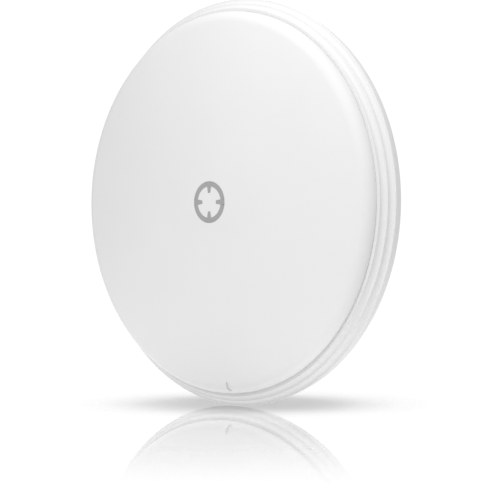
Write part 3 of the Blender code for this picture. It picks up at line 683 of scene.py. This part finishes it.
def boxes(ranges):
    """One cutter from boxes, each the range of its x, its stations and its z."""
    mesh_data = bmesh.new()
    for x_range, stations, z_range in ranges:
        extrude_into(mesh_data, rectangle(*x_range, *z_range), *stations, "y")
    return to_object(mesh_data, "boxes")


def show(made, name, nodes, bevel=0.0, smooth=32, segments=2):
    """Names a finished piece, shades it, and lets it stand for its CAD nodes."""
    made.name = name
    made.data.name = name
    cad = frame["nodes"][nodes[0]]
    slot = cad_slot(cad)
    made.data.materials.clear()
    made.data.materials.append(MATERIALS[slot])
    if bevel:
        step = made.modifiers.new("edge_round", "BEVEL")
        step.width = bevel * MM
        step.segments = segments
        step.limit_method = "ANGLE"
        step.angle_limit = math.radians(40)
        step.use_clamp_overlap = True
        settle(made)
    made.data.shade_smooth()
    made.data.set_sharp_from_angle(angle=math.radians(smooth))
    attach(made, cad["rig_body"])
    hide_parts(*nodes)
    return made


def cad_slot(cad):
    """The name of a CAD node's material, without the number that Blender may add."""
    return cad.data.materials[0].name.split(".")[0]


def turned(outline, steps=TURNED_STEPS, place=None):
    mesh_data = bmesh.new()
    rings = [(radius, height, "round") for radius, height in outline]
    turn_into(mesh_data, rings, steps, place or along(REARWARD))
    return to_object(mesh_data, "turned")


def prism(outline, low, high, normal):
    mesh_data = bmesh.new()
    extrude_into(mesh_data, outline, low, high, normal)
    return to_object(mesh_data, "prism")


# Fasteners


# A hexagon's chamfer ends at this part of its flat, and rises by this part of its reach
CROWN_REACH = 0.93
CROWN_SLOPE = 0.55
RINGS_PER_PITCH = 6


def crown(flat):
    """How far a hexagon's corners stand past the round end of its chamfer."""
    return flat / math.cos(math.radians(30)) - flat * CROWN_REACH


def chamfered(flat, height, steps):
    """Rings of a hexagon's upper chamfer, from its corners in to the round end."""
    rings = []
    for step in range(steps + 1):
        fall = step / steps
        limit = flat * CROWN_REACH + crown(flat) * (1 - fall)
        rings.append((flat, height - crown(flat) * CROWN_SLOPE * (1 - fall), ("cone", limit)))
    return rings


def hex_head(flat, height):
    """Rings of a hexagonal head with its washer face and chamfered crown, from the seat up."""
    face = flat * 0.97
    step_up = 0.25
    rings = [(face, 0, ("cone", face)), (face, step_up, ("cone", face)), (flat, step_up, "hex")]
    return rings + chamfered(flat, height, 6)


def pan_head(shank, flat, height, socket):
    """Rings of a round head with an eased crown, from the seat up."""
    side = [(shank, 0), (flat, 0), (flat, height * 0.62), (flat * 0.8, height), (socket, height)]
    return [(radius, level, "round") for radius, level in eased(side, 0.7, closed=False)[1:-1]]


def bolt(name, node, place, shank, length, flat, height, thread, pitch, socket=0.0):
    """Head from the seat up along +Z, shank down; its end is threaded. With a socket the head is round."""
    if socket:
        head = pan_head(shank, flat, height, socket)
        floor = height * 0.45
        wide = socket * 1.2
        rings = [(0, floor, "round"), (socket, floor, "hex"), (socket, height, "hex")]
        rings.append((wide, height, ("cone", wide)))
    else:
        head = hex_head(flat, height)
        rings = [(0, height, "round"), (flat * 0.5, height, "round")]
    rings += head[::-1]
    rings.append((shank, 0, "round"))
    start = thread - length
    count = int(thread / pitch * RINGS_PER_PITCH)
    rings.append((shank, start + 0.4, "round"))
    for step in range(count + 1):
        rings.append((shank, start - (thread - 0.6) * step / count, ("thread", pitch)))
    rings += [(shank - 0.5, -length, "round"), (0, -length, "round")]
    mesh_data = bmesh.new()
    turn_into(mesh_data, rings, BOLT_STEPS, place)
    return show(to_object(mesh_data, name), name, [node])


def nut(name, node, place, bore, flat, height):
    upper = chamfered(flat, height, 5)
    lower = [(reach, height - level, shape) for reach, level, shape in upper[::-1]]
    rings = [(bore, 0, "round")] + lower + upper
    rings += [(bore + 0.5, height, "round"), (bore, height - 0.5, "round")]
    mesh_data = bmesh.new()
    turn_into(mesh_data, rings, SMALL_STEPS, place)
    return show(to_object(mesh_data, name), name, [node])


def washer(name, node, place, bore, radius, height):
    outline = eased(rectangle(bore, radius, 0, height), 0.3)
    return show(turned(outline, SMALL_STEPS, place), name, [node])


# Cover


def dome():
    """The dome's radius, the station of its centre, and the angle where the shoulder takes over."""
    reach = COVER_RADIUS - SHOULDER_RADIUS
    rise = SHOULDER_STATION - COVER_APEX
    radius = (reach**2 + rise**2 - SHOULDER_RADIUS**2) / (2 * (rise - SHOULDER_RADIUS))
    return radius, COVER_APEX + radius, math.asin(reach / (radius - SHOULDER_RADIUS))


def cover_face(inset):
    """Half an outline of the dome and shoulder, inset from the outside."""
    radius, centre, meet = dome()
    points = []
    for step in range(DOME_STEPS + 1):
        angle = meet * step / DOME_STEPS
        points.append(((radius - inset) * math.sin(angle), centre - (radius - inset) * math.cos(angle)))
    for step in range(1, SHOULDER_STEPS + 1):
        angle = meet + (math.pi / 2 - meet) * step / SHOULDER_STEPS
        reach = COVER_RADIUS - SHOULDER_RADIUS + (SHOULDER_RADIUS - inset) * math.sin(angle)
        points.append((reach, SHOULDER_STATION - (SHOULDER_RADIUS - inset) * math.cos(angle)))
    return points


def make_cover():
    sunk = 0.4
    bead_half = 1.0
    inside = COVER_RADIUS - COVER_WALL
    bead = arc((COVER_RADIUS - sunk, SNAP_STATION), COVER_BEAD + sunk, -math.pi / 3, math.pi / 3, 8)
    skirt = [(COVER_RADIUS, SNAP_STATION - bead_half)] + bead + [(COVER_RADIUS, SNAP_STATION + bead_half)]
    skirt += [(COVER_RADIUS, SKIRT_END - SKIRT_ROUND), (COVER_RADIUS - SKIRT_ROUND, SKIRT_END)]
    skirt += [(inside + SKIRT_ROUND, SKIRT_END), (inside, SKIRT_END - SKIRT_ROUND)]
    outline = cover_face(0) + skirt + cover_face(COVER_WALL)[::-1]
    made = turned(outline, TURNED_STEPS)
    cut(made, notch_tool())
    show(made, "cover_skin", ["radome_cover"], smooth=30)


def notch_tool():
    """The blind slot with round ends and a dished floor, for the blade that pries the cover off."""
    _, _, meet = dome()
    lean = meet + (math.pi / 2 - meet) * NOTCH_LEAN
    outward = Vector((math.cos(NOTCH_ANGLE), 0, math.sin(NOTCH_ANGLE)))
    centre = outward * (COVER_RADIUS - SHOULDER_RADIUS + SHOULDER_RADIUS * math.sin(lean))
    centre += Vector((0, SHOULDER_STATION - SHOULDER_RADIUS * math.cos(lean), 0))
    normal = (outward * math.sin(lean) + Vector((0, -math.cos(lean), 0))).normalized()
    run = (outward * math.cos(lean) + Vector((0, math.sin(lean), 0))).normalized()
    place = Matrix.Translation(centre) @ Matrix((run, normal.cross(run), normal)).transposed().to_4x4()
    straight = (NOTCH_LENGTH - NOTCH_WIDTH) / 2
    quarter = math.pi / 2
    loops = []
    for above_floor, inset in ((NOTCH_DEPTH + 6.0, 0.0), (0.7, 0.0), (0.25, 0.2), (0.0, 0.7)):
        half = NOTCH_WIDTH / 2 - inset
        ends = arc((straight, 0), half, -quarter, quarter, 12)
        ends += arc((-straight, 0), half, quarter, 3 * quarter, 12)
        loops.append([place @ Vector((x, y, above_floor - NOTCH_DEPTH)) for x, y in ends])
    mesh_data = bmesh.new()
    loft_into(mesh_data, loops)
    return to_object(mesh_data, "notch")


def make_aim_mark():
    """A printed ring with four short ticks, laid on the dome."""
    outer = half_width("aim_mark")
    ticks = 4
    steps = 16
    parts = 6
    tick_half = math.asin(TICK_HALF_WIDTH / MARK_INNER)
    swing = tick_half * MARK_INNER / TICK_END
    away = tick_half + math.radians(1.2)
    spread = 2 * math.pi / ticks - 2 * away
    inside = []
    for index in range(ticks):
        middle = 2 * math.pi * index / ticks
        inside += [(TICK_END, middle - swing), (TICK_END, middle), (TICK_END, middle + swing)]
        inside += [(MARK_INNER, middle + away + spread * step / steps) for step in range(steps + 1)]
    radius, centre, _ = dome()
    layers = []
    mesh_data = bmesh.new()
    for lift in (INK_FRONT, INK_REAR):
        rows = []
        for part in range(parts + 1):
            row = []
            for start, angle in inside:
                reach = start + (outer - start) * part / parts
                station = centre - math.sqrt((radius + lift) ** 2 - reach**2)
                row.append(mesh_data.verts.new((reach * math.cos(angle), station, reach * math.sin(angle))))
            rows.append(row)
        layers.append(rows)
    front, rear = layers
    count = len(inside)
    for step in range(count):
        after = (step + 1) % count
        for rows in layers:
            for low, high in zip(rows, rows[1:]):
                mesh_data.faces.new((low[step], low[after], high[after], high[step]))
        for part in (0, -1):
            mesh_data.faces.new((front[part][step], front[part][after], rear[part][after], rear[part][step]))
    show(to_object(mesh_data, "aim_print"), "aim_print", ["aim_mark"])


# Rim


def lip(index):
    """The radius of a lip's edge and the station of its front; lip 0 is the one next to the cover."""
    behind = LIPS - 1 - index
    return RIM_RADIUS - behind * LIP_OUT, LAST_LIP_STATION - behind * LIP_BACK


def make_rim():
    _, first_station = lip(0)
    seam = COVER_RADIUS + SEAM_GAP
    outline = arc((seam + SEAM_ROUND, first_station + SEAM_ROUND), SEAM_ROUND, math.pi, 1.5 * math.pi, 5)
    for index in range(LIPS):
        radius, station = lip(index)
        crest = (radius - LIP_ROUND, station + LIP_ROUND)
        outline += arc(crest, LIP_ROUND, -math.pi / 2, 0, 6)
        if index < LIPS - 1:
            _, next_station = lip(index + 1)
            centre = (radius + COVE_RADIUS, next_station - COVE_RADIUS)
            outline += arc(centre, COVE_RADIUS, math.pi, math.pi / 2, 14)[:-1]
    outline += eased([*RIM_TAIL, (WEB_OUTER, WEB_REAR)], 0.7, 5, False)
    web = [(WEB_OUTER, WEB_REAR), (WEB_INNER, WEB_REAR), (WEB_INNER, WEB_FRONT), (seam, WEB_FRONT)]
    outline += eased(web, 0.4, 3, False)
    outline += [(seam + depth, SNAP_STATION + shift) for depth, shift in SNAP_GROOVE]
    made = turned(outline)
    cut(made, bits(drilled(rim_screw_places(), RIM_SCREW_HOLE, RIM_HOLE_STATIONS)))
    show(made, "rim_skin", ["rim_shroud"], smooth=34)


def rim_screw_places():
    places = []
    for index in range(RIM_SCREWS):
        angle = 2 * math.pi * (index + 0.5) / RIM_SCREWS
        places.append((RIM_SCREW_CIRCLE * math.cos(angle), RIM_SCREW_CIRCLE * math.sin(angle)))
    return places


# Reflector, hub and bracket


def dish_point(radius, behind=0.0):
    """A point of the bowl's front, or one that is behind it by a distance square to the wall."""
    slope = radius / (2 * FOCAL_LENGTH)
    scale = behind / math.hypot(1, slope)
    return radius + slope * scale, VERTEX_STATION - radius**2 / (4 * FOCAL_LENGTH) + scale


def make_dish():
    radii = [DISH_HOLE + (APERTURE_RADIUS - DISH_HOLE) * step / DISH_STEPS for step in range(DISH_STEPS + 1)]
    front = [dish_point(radius) for radius in radii]
    rear = [dish_point(radius, DISH_WALL) for radius in radii[::-1]]
    lip_rear = FLANGE_STATION + FLANGE_DEPTH
    flange_rear = FLANGE_STATION + DISH_WALL
    inside = FLANGE_RADIUS - DISH_WALL
    hem = [front[-2], (APERTURE_RADIUS, FLANGE_STATION), (FLANGE_RADIUS, FLANGE_STATION)]
    hem += [(FLANGE_RADIUS, lip_rear), (inside, lip_rear), (inside, flange_rear)]
    hem += [(APERTURE_RADIUS + 1.6, flange_rear), rear[1]]
    made = turned(front[:-2] + eased(hem, 1.4, 5, False) + rear[2:])
    screws = drilled(rim_screw_places(), FLANGE_SCREW_HOLE, FLANGE_HOLE_STATIONS)
    cut(made, bits(screws + drilled(HUB_BOLTS, M5_HOLE, HUB_HOLE_STATIONS)))
    show(made, "dish_skin", ["reflector_dish"], smooth=34)


def make_hub():
    inner = (38.3, dish_point(38.0, DISH_WALL)[1] + CONTACT_GAP)
    outer = (52.0, dish_point(50.0, DISH_WALL)[1])
    outline = [*HUB_SEAT, inner, outer, (HUB_RADIUS, HUB_EDGE_FRONT), (HUB_RADIUS, HUB_REAR - HUB_CHAMFER)]
    outline += [(HUB_RADIUS - HUB_CHAMFER, HUB_REAR), (HUB_BORE, HUB_REAR)]
    made = turned(eased(outline, 0.8), MEDIUM_STEPS)
    holes = drilled(HUB_BOLTS, M5_HOLE, HUB_HOLE_STATIONS)
    cut(made, bits(holes + drilled([GROUND_PLACE], GROUND_HOLE, GROUND_HOLE_STATIONS)))
    show(made, "hub_casting", ["hub_plate"], bevel=0.25)
    for number, (x, z) in enumerate(HUB_BOLTS, 1):
        place = along(REARWARD, x, HUB_REAR + CONTACT_GAP + PLATE + CONTACT_GAP, z)
        bolt(f"hub_hex_{number}", f"hub_bolt_{number}", place,
             shank=2.5, length=19.5, flat=4.0, height=4.0, thread=12.0, pitch=0.8)
    x, z = GROUND_PLACE
    bolt("ground_stud", "ground_screw", along(REARWARD, x, HUB_REAR + CONTACT_GAP, z),
         shank=2.0, length=7.5, flat=4.2, height=3.0, thread=5.0, pitch=0.7, socket=1.6)
    for number, (x, z) in enumerate(rim_screw_places(), 1):
        place = along(REARWARD, x, FLANGE_STATION + DISH_WALL + CONTACT_GAP, z)
        bolt(f"rim_head_{number}", f"rim_screw_{number}", place,
             shank=1.6, length=9.3, flat=3.2, height=2.2, thread=6.0, pitch=0.7, socket=1.3)


def make_head_bracket():
    low, _ = height_range("head_bracket")
    front, _ = station_range("head_bracket")
    rear = front + PLATE
    outside = half_width("head_bracket")
    inside = outside - PLATE
    profile = [(-outside, front), (outside, front), (outside, HEAD_ARM_END), (inside, HEAD_ARM_END)]
    profile += [(inside, rear), (-inside, rear), (-inside, HEAD_ARM_END), (-outside, HEAD_ARM_END)]
    made = prism(eased(profile, {0: 5.0, 1: 5.0, 4: 2.0, 5: 2.0}, 8), low, HEAD_ARM_TOP, "z")
    cut(made, prism(head_silhouette(front, rear, low), -THROUGH, THROUGH, "x"), "INTERSECT")

    plate = (front - PAST, rear + PAST)
    cut(made, boxes([(x_range, plate, HEAD_NOTCH_Z) for x_range in HEAD_NOTCH_X]))
    holes = drilled(HUB_BOLTS, M5_HOLE, plate)
    holes += drilled(HOUSING_SCREWS, HOUSING_SCREW_HOLE, plate)
    holes += drilled([(0, 0)], TUBE_HOLE, plate)
    holes.append((SIDEWAYS, (0, PIVOT_STATION, 0), M8_HOLE, -THROUGH, THROUGH))
    cut(made, bits(holes))
    cut(made, prism(lock_slot(M6_HOLE), -THROUGH, THROUGH, "x"))
    show(made, "tilt_bracket", ["head_bracket"], bevel=0.35)


def head_silhouette(front, rear, low):
    """The bracket from the side, as (station, z): the plate, and the ears round the pivot and the slot."""
    foot, shoulder = (rear, HEAD_EAR_FOOT), (rear, HEAD_EAR_TOP)
    ears = circle((PIVOT_STATION, 0), PIVOT_EAR) + circle(lock_centre(-TILT_LIMIT), LOCK_EAR)
    shape = hull(ears + circle(lock_centre(TILT_LIMIT), LOCK_EAR) + [foot, shoulder])
    start = shape.index(shoulder)
    around = shape[start:] + shape[:start]
    ear_path = around[around.index(foot):] + [shoulder]
    plate = [(front - 1, HEAD_ARM_TOP + 1), (front - 1, low - 1), (rear, low - 1)]
    return plate + ear_path + [(rear, HEAD_ARM_TOP + 1)]


def lock_centre(swing):
    """Where a lock bolt is, as (station, z), when the head is tilted by swing."""
    angle = math.pi / 2 + swing
    return PIVOT_STATION + LOCK_RADIUS * math.cos(angle), LOCK_RADIUS * math.sin(angle)


def lock_slot(half):
    """The arc slot that the lock bolts slide in, as (station, z); half is half of its width."""
    pivot = (PIVOT_STATION, 0)
    middle = math.pi / 2
    slot = arc(pivot, LOCK_RADIUS + half, middle - TILT_LIMIT, middle + TILT_LIMIT, 16)
    slot += arc(lock_centre(TILT_LIMIT), half, middle + TILT_LIMIT, 3 * middle + TILT_LIMIT, 10)[1:-1]
    slot += arc(pivot, LOCK_RADIUS - half, middle + TILT_LIMIT, middle - TILT_LIMIT, 16)
    slot += arc(lock_centre(-TILT_LIMIT), half, -middle - TILT_LIMIT, middle - TILT_LIMIT, 10)[1:-1]
    return slot


# Radio housing


def housing_shell():
    """The case before it is cut: a box with round corners and a round rear edge."""
    stations = [(HOUSING_FRONT, 0.0)]
    edge_steps = 6
    for step in range(edge_steps + 1):
        angle = math.pi / 2 * step / edge_steps
        inset = HOUSING_EDGE * (1 - math.cos(angle))
        stations.append((HOUSING_REAR - HOUSING_EDGE * (1 - math.sin(angle)), inset))
    loops = []
    for station, inset in stations:
        half = HOUSING_HALF - inset
        low, high = HOUSING_BOTTOM + inset, HOUSING_TOP - inset
        outline = rounded_rectangle(-half, half, low, high, HOUSING_CORNER - inset)
        loops.append([(x, station, z) for x, z in outline])
    mesh_data = bmesh.new()
    loft_into(mesh_data, loops)
    return to_object(mesh_data, "housing")


def make_housing():
    made = housing_shell()
    cut(made, prism(BOARD_ROOM, *BOARD_ROOM_STATIONS, "y"))
    cut(made, prism(rounded_rectangle(*PORT_ROOM, 2.0), *PORT_ROOM_STATIONS, "y"))
    for ranges in (DOOR_GROOVES, DOOR_WAY, JACK_WINDOW, LENS_WINDOW):
        cut(made, boxes([ranges]))
    holes = drilled(HOUSING_SCREWS, HOUSING_SCREW_HOLE, (HOUSING_FRONT - PAST, HOUSING_REAR + PAST))
    holes.append((UPWARD, (RESET_X, RESET_STATION, 0), RESET_HOLE, *RESET_HOLE_Z))
    holes.append((UPWARD, (0, GROMMET_STATION, 0), GROMMET_HOLE, *GROMMET_HOLE_Z))
    cut(made, bits(holes))
    show(made, "radio_case", ["radio_housing"], bevel=0.3)
    for number, (x, z) in enumerate(HOUSING_SCREWS, 1):
        place = along(REARWARD, x, HOUSING_REAR + CONTACT_GAP, z)
        bolt(f"case_screw_{number}", f"housing_screw_{number}", place,
             shank=1.4, length=23.3, flat=2.6, height=2.0, thread=8.0, pitch=0.6, socket=1.1)


def make_housing_fittings():
    bottom, below, above, top = GROMMET_LEVELS
    bore, waist, flange = GROMMET_RADII
    outline = [(bore, bottom), (flange, bottom), (flange, below), (waist, below)]
    outline += [(waist, above), (flange, above), (flange, top), (bore, top)]
    place = along(UPWARD, 0, GROMMET_STATION, 0)
    show(turned(eased(outline, 0.6), SMALL_STEPS, place), "cable_gland", ["cable_grommet"])
    lens = prism(rounded_rectangle(*LENS_OUTLINE, 1.1), *LENS_STATIONS, "y")
    show(lens, "status_lens", ["led_lens"], bevel=0.4, segments=3)


def make_port_door():
    low, high = height_range("port_door")
    front, tongue_rear, rear = DOOR_STATIONS
    side = [(DOOR_TONGUE, front), (DOOR_TONGUE, tongue_rear), (DOOR_FACE, tongue_rear), (DOOR_FACE, rear)]
    made = prism(mirrored(side), low, high, "z")
    grip = []
    for index in range(GRIP_GROOVES):
        bottom = GRIP_BOTTOM + GRIP_PITCH * index
        grip.append(((-GRIP_HALF, GRIP_HALF), (rear - 0.5, rear + 0.7), (bottom, bottom + GRIP_WIDTH)))
    cut(made, boxes(grip))
    show(made, "sliding_door", ["port_door"], bevel=0.25)


def make_reset_button():
    place = along(UPWARD, RESET_X, RESET_STATION, 0)
    show(turned(eased(RESET_OUTLINE, 0.3, 3, False), SMALL_STEPS, place), "reset_cap", ["reset_button"])


# Pole mount


def make_pole_bracket():
    rear = SADDLE_FRONT - CONTACT_GAP
    front = rear - PLATE
    outside = half_width("pole_bracket")
    inside = outside - POLE_ARM_WALL
    tall = POLE_ARM_HALF_HEIGHT
    side = [(-outside, rear), (-outside, POLE_ARM_END), (-inside, POLE_ARM_END), (-inside, front)]
    made = prism(eased(mirrored(side), {0: 4.8, 7: 4.8, 3: 1.8, 4: 1.8}, 8), -tall, tall, "z")
    ear = circle((PIVOT_STATION, 0), PIVOT_EAR) + circle((PIVOT_STATION, LOCK_RADIUS), LOCK_EAR)
    ear += [(rear + 1, -tall), (rear + 1, tall), (front, -tall), (front, tall)]
    cut(made, prism(hull(ear), -THROUGH, THROUGH, "x"), "INTERSECT")
    holes = drilled(SADDLE_SCREWS, M5_HOLE, (front - PAST, rear + PAST))
    holes.append((SIDEWAYS, (0, PIVOT_STATION, 0), M8_HOLE, -THROUGH, THROUGH))
    holes.append((SIDEWAYS, (0, PIVOT_STATION, LOCK_RADIUS), M6_HOLE, -THROUGH, THROUGH))
    cut(made, bits(holes))
    show(made, "pole_channel", ["pole_bracket"], bevel=0.35)


def make_tilt_fasteners():
    start = half_width("head_bracket") + CONTACT_GAP
    inside = half_width("pole_bracket") - POLE_ARM_WALL - CONTACT_GAP
    washer_height = 1.2
    bolt("pivot_hex", "pivot_bolt", along(SIDEWAYS, start, PIVOT_STATION, 0),
         shank=4.0, length=2 * start + 9.0, flat=6.5, height=5.3, thread=22.0, pitch=1.25)
    place = along((-1, 0, 0), -start, PIVOT_STATION, 0)
    nut("pivot_hex_nut", "pivot_nut", place, bore=M8_HOLE, flat=6.5, height=6.5)
    for side, word in ((-1, "left"), (1, "right")):
        outward = (side, 0, 0)
        place = along(outward, side * start, PIVOT_STATION, LOCK_RADIUS)
        washer(f"lock_flat_washer_{word}", f"lock_washer_{word}", place, M6_HOLE, 7.5, washer_height)
        place = along(outward, side * (start + washer_height + CONTACT_GAP), PIVOT_STATION, LOCK_RADIUS)
        bolt(f"lock_hex_{word}", f"lock_bolt_{word}", place,
             shank=3.0, length=15.5, flat=5.0, height=4.0, thread=9.0, pitch=1.0)
        place = along((-side, 0, 0), side * inside, PIVOT_STATION, LOCK_RADIUS)
        nut(f"lock_hex_nut_{word}", f"lock_nut_{word}", place, bore=M6_HOLE, flat=5.0, height=5.0)


def vee_station(x, direction):
    """Where a V that rests on the pole is at x: in front of the pole for -1, behind it for 1."""
    return POLE_STATION + direction * (POLE_RADIUS * math.sqrt(2) - abs(x))


def make_pole_saddle():
    wing = POLE_STATION - SADDLE_WING
    half = half_width("pole_saddle")
    land = vee_station(SADDLE_LAND, -1)
    side = [(half, SADDLE_FRONT), (half, wing), (SADDLE_STEP, wing), (SADDLE_STEP, land), (SADDLE_LAND, land)]
    side.append((VEE_TIP, vee_station(VEE_TIP, -1)))
    made = prism(mirrored(side), -SADDLE_HALF_HEIGHT, SADDLE_HALF_HEIGHT, "z")
    start, end = SADDLE_FRONT - PAST, wing + PAST
    floor = SADDLE_FRONT + HEAD_POCKET_DEPTH
    mesh_data = bmesh.new()
    for x in (-CLAMP_BOLT_X, CLAMP_BOLT_X):
        rings = [(0, start, "round"), (HEAD_POCKET, start, "hex"), (HEAD_POCKET, floor, "hex")]
        rings += [(M6_HOLE, floor, "round"), (M6_HOLE, end, "round"), (0, end, "round")]
        turn_into(mesh_data, rings, SMALL_STEPS, along(REARWARD, x))
    cut(made, to_object(mesh_data, "pockets"))
    cut(made, bits(drilled(SADDLE_SCREWS, M5_HOLE, (start, SADDLE_SCREW_END))))
    show(made, "saddle_casting", ["pole_saddle"], bevel=0.7, segments=3)
    for word, (x, z) in zip(("upper", "lower"), SADDLE_SCREWS):
        place = along(FORWARD, x, SADDLE_FRONT - CONTACT_GAP - PLATE - CONTACT_GAP, z)
        bolt(f"saddle_key_{word}", f"saddle_screw_{word}", place,
             shank=2.5, length=11.5, flat=4.2, height=3.0, thread=8.0, pitch=0.8, socket=1.8)


def make_clamp():
    head = SADDLE_FRONT + CLAMP_HEAD_DEPTH
    end = station_range("clamp_bolt_left")[1]
    front = POLE_STATION + JAW_SHIFT
    rear = front + JAW_WING
    thickness = JAW_WALL * math.sqrt(2)
    half = half_width("clamp_jaw")
    foot = vee_station(0, 1) + thickness - rear
    side = [(half, front), (half, rear), (foot, rear), (JAW_TIP, vee_station(JAW_TIP, 1) + thickness)]
    inner = [(JAW_MOUTH, vee_station(JAW_MOUTH, 1)), (VEE_TIP, vee_station(VEE_TIP, 1))]
    outline = mirrored(side) + [(-x, station) for x, station in inner] + inner[::-1]
    made = prism(outline, -JAW_HALF_HEIGHT, JAW_HALF_HEIGHT, "z")
    places = [(-CLAMP_BOLT_X, 0), (CLAMP_BOLT_X, 0)]
    cut(made, bits(drilled(places, M6_HOLE, (front - PAST, rear + PAST))))
    show(made, "jaw_casting", ["clamp_jaw"], bevel=0.6, segments=3)
    for (x, _), word in zip(places, ("left", "right")):
        bolt(f"clamp_hex_{word}", f"clamp_bolt_{word}", along(FORWARD, x, head),
             shank=3.0, length=end - head, flat=5.0, height=4.0, thread=34.0, pitch=1.0)
        place = along(REARWARD, x, rear + CONTACT_GAP)
        nut(f"clamp_hex_nut_{word}", f"clamp_nut_{word}", place, bore=M6_HOLE, flat=5.0, height=5.0)


# Floor and light


def rings_round(tree, spot, middle, stops):
    """Greys that change with the distance of a shaded spot from a middle point, in metres."""
    away = tree.nodes.new("ShaderNodeVectorMath")
    away.operation = "DISTANCE"
    away.inputs[1].default_value = middle
    tree.links.new(spot, away.inputs[0])
    return ramp(tree, away.outputs["Value"], [(at, grey(value)) for at, value in stops])


def seen_or_else(tree, seen_value, other_value):
    """One value where a thing is seen, directly or mirrored, and another where it only gives soft light."""
    path = tree.nodes.new("ShaderNodeLightPath")
    seen = tree.nodes.new("ShaderNodeMath")
    seen.operation = "MAXIMUM"
    tree.links.new(path.outputs["Is Camera Ray"], seen.inputs[0])
    tree.links.new(path.outputs["Is Glossy Ray"], seen.inputs[1])
    choice = tree.nodes.new("ShaderNodeMapRange")
    choice.inputs["To Min"].default_value = other_value
    choice.inputs["To Max"].default_value = seen_value
    tree.links.new(seen.outputs["Value"], choice.inputs["Value"])
    return choice.outputs["Result"]


def floor_material():
    """Pale matt paint with a painted shadow round the foot, under a sheen that mirrors most a little way off.
    """
    material = bpy.data.materials.new("pale_floor")
    material.use_nodes = True
    tree = material.node_tree
    tree.nodes.remove(tree.nodes["Principled BSDF"])
    spot = tree.nodes.new("ShaderNodeTexCoord").outputs["Object"]
    matt = tree.nodes.new("ShaderNodeBsdfDiffuse")
    # The shade ramp is a painted shadow round the foot, scaled by the floor's tone.
    toned = [(at, value * FLOOR_TONE) for at, value in FLOOR_SHADE]
    dimmed = tree.nodes.new("ShaderNodeVectorMath")
    dimmed.operation = "SCALE"
    tree.links.new(rings_round(tree, spot, SHADE_CENTRE, toned), dimmed.inputs[0])
    tree.links.new(seen_or_else(tree, 1.0, FLOOR_BOUNCE), dimmed.inputs["Scale"])
    tree.links.new(dimmed.outputs["Vector"], matt.inputs["Color"])
    sheen = tree.nodes.new("ShaderNodeBsdfGlossy")
    sheen.inputs["Color"].default_value = (1, 1, 1, 1)
    sheen.inputs["Roughness"].default_value = SHEEN_ROUGHNESS
    mix = tree.nodes.new("ShaderNodeMixShader")
    tree.links.new(rings_round(tree, spot, (0, 0, 0), FLOOR_SHEEN), mix.inputs["Fac"])
    tree.links.new(matt.outputs["BSDF"], mix.inputs[1])
    tree.links.new(sheen.outputs["BSDF"], mix.inputs[2])
    tree.links.new(mix.outputs["Shader"], tree.nodes["Material Output"].inputs["Surface"])
    return material


def make_floor():
    mesh_data = bmesh.new()
    bmesh.ops.create_grid(mesh_data, x_segments=8, y_segments=8, size=FLOOR_HALF)
    mesh = bpy.data.meshes.new("floor")
    mesh_data.to_mesh(mesh)
    mesh_data.free()
    mesh.materials.append(floor_material())
    floor = bpy.data.objects.new("floor", mesh)
    scene.collection.objects.link(floor)
    floor.location = (0, REAR_Y, FLOOR_Z)
    return floor


def make_room():
    """A white room, dimmer as a source of soft light than it looks."""
    world = bpy.data.worlds.new("studio")
    world.use_nodes = True
    tree = world.node_tree
    background = tree.nodes["Background"]
    background.inputs["Color"].default_value = (1, 1, 1, 1)
    tree.links.new(seen_or_else(tree, WORLD_STRENGTH, SKY_LEVEL), background.inputs["Strength"])
    scene.world = world


def make_overhead(floor):
    """An even light from straight above that falls on the floor alone and casts no shadow."""
    sun = bpy.data.lights.new("overhead", "SUN")
    sun.energy = OVERHEAD_STRENGTH
    sun.use_shadow = False
    light = bpy.data.objects.new("overhead", sun)
    scene.collection.objects.link(light)
    only_floor = bpy.data.collections.new("lit_from_above")
    only_floor.objects.link(floor)
    light.light_linking.receiver_collection = only_floor


def all_but(floor, name):
    """A light-linking collection that leaves the floor out."""
    group = bpy.data.collections.new(name)
    group.objects.link(floor)
    group.collection_objects[0].light_linking.link_state = "EXCLUDE"
    return group


def make_lamps(floor):
    """Soft lamps that light the object but not the floor, and that nothing shows or mirrors."""
    lit = all_but(floor, "unlit_by_lamps")
    blocking = all_but(floor, "clear_to_lamps")
    middle = Vector((0, REAR_Y, 0))
    for name, spot, target, size, power in LAMPS:
        lamp = bpy.data.lights.new(name, "AREA")
        lamp.shape = "SQUARE"
        lamp.size = size
        lamp.energy = power
        light = bpy.data.objects.new(name, lamp)
        scene.collection.objects.link(light)
        light.location = middle + Vector(spot)
        light.rotation_euler = (Vector(spot) - Vector(target)).to_track_quat("Z", "Y").to_euler()
        light.visible_camera = False
        light.visible_glossy = False
        light.light_linking.receiver_collection = lit
        light.light_linking.blocker_collection = blocking


def dress_cad_nodes():
    """Every CAD node that still shows takes its finished material."""
    for cad in frame["nodes"].values():
        finished = MATERIALS[cad_slot(cad)]
        for index in range(len(cad.data.materials)):
            cad.data.materials[index] = finished


make_cover()
make_aim_mark()
make_rim()
make_dish()
make_hub()
make_head_bracket()
make_housing()
make_housing_fittings()
make_port_door()
make_reset_button()
make_pole_bracket()
make_tilt_fasteners()
make_pole_saddle()
make_clamp()
stage_floor = make_floor()
make_room()
make_overhead(stage_floor)
make_lamps(stage_floor)
dress_cad_nodes()
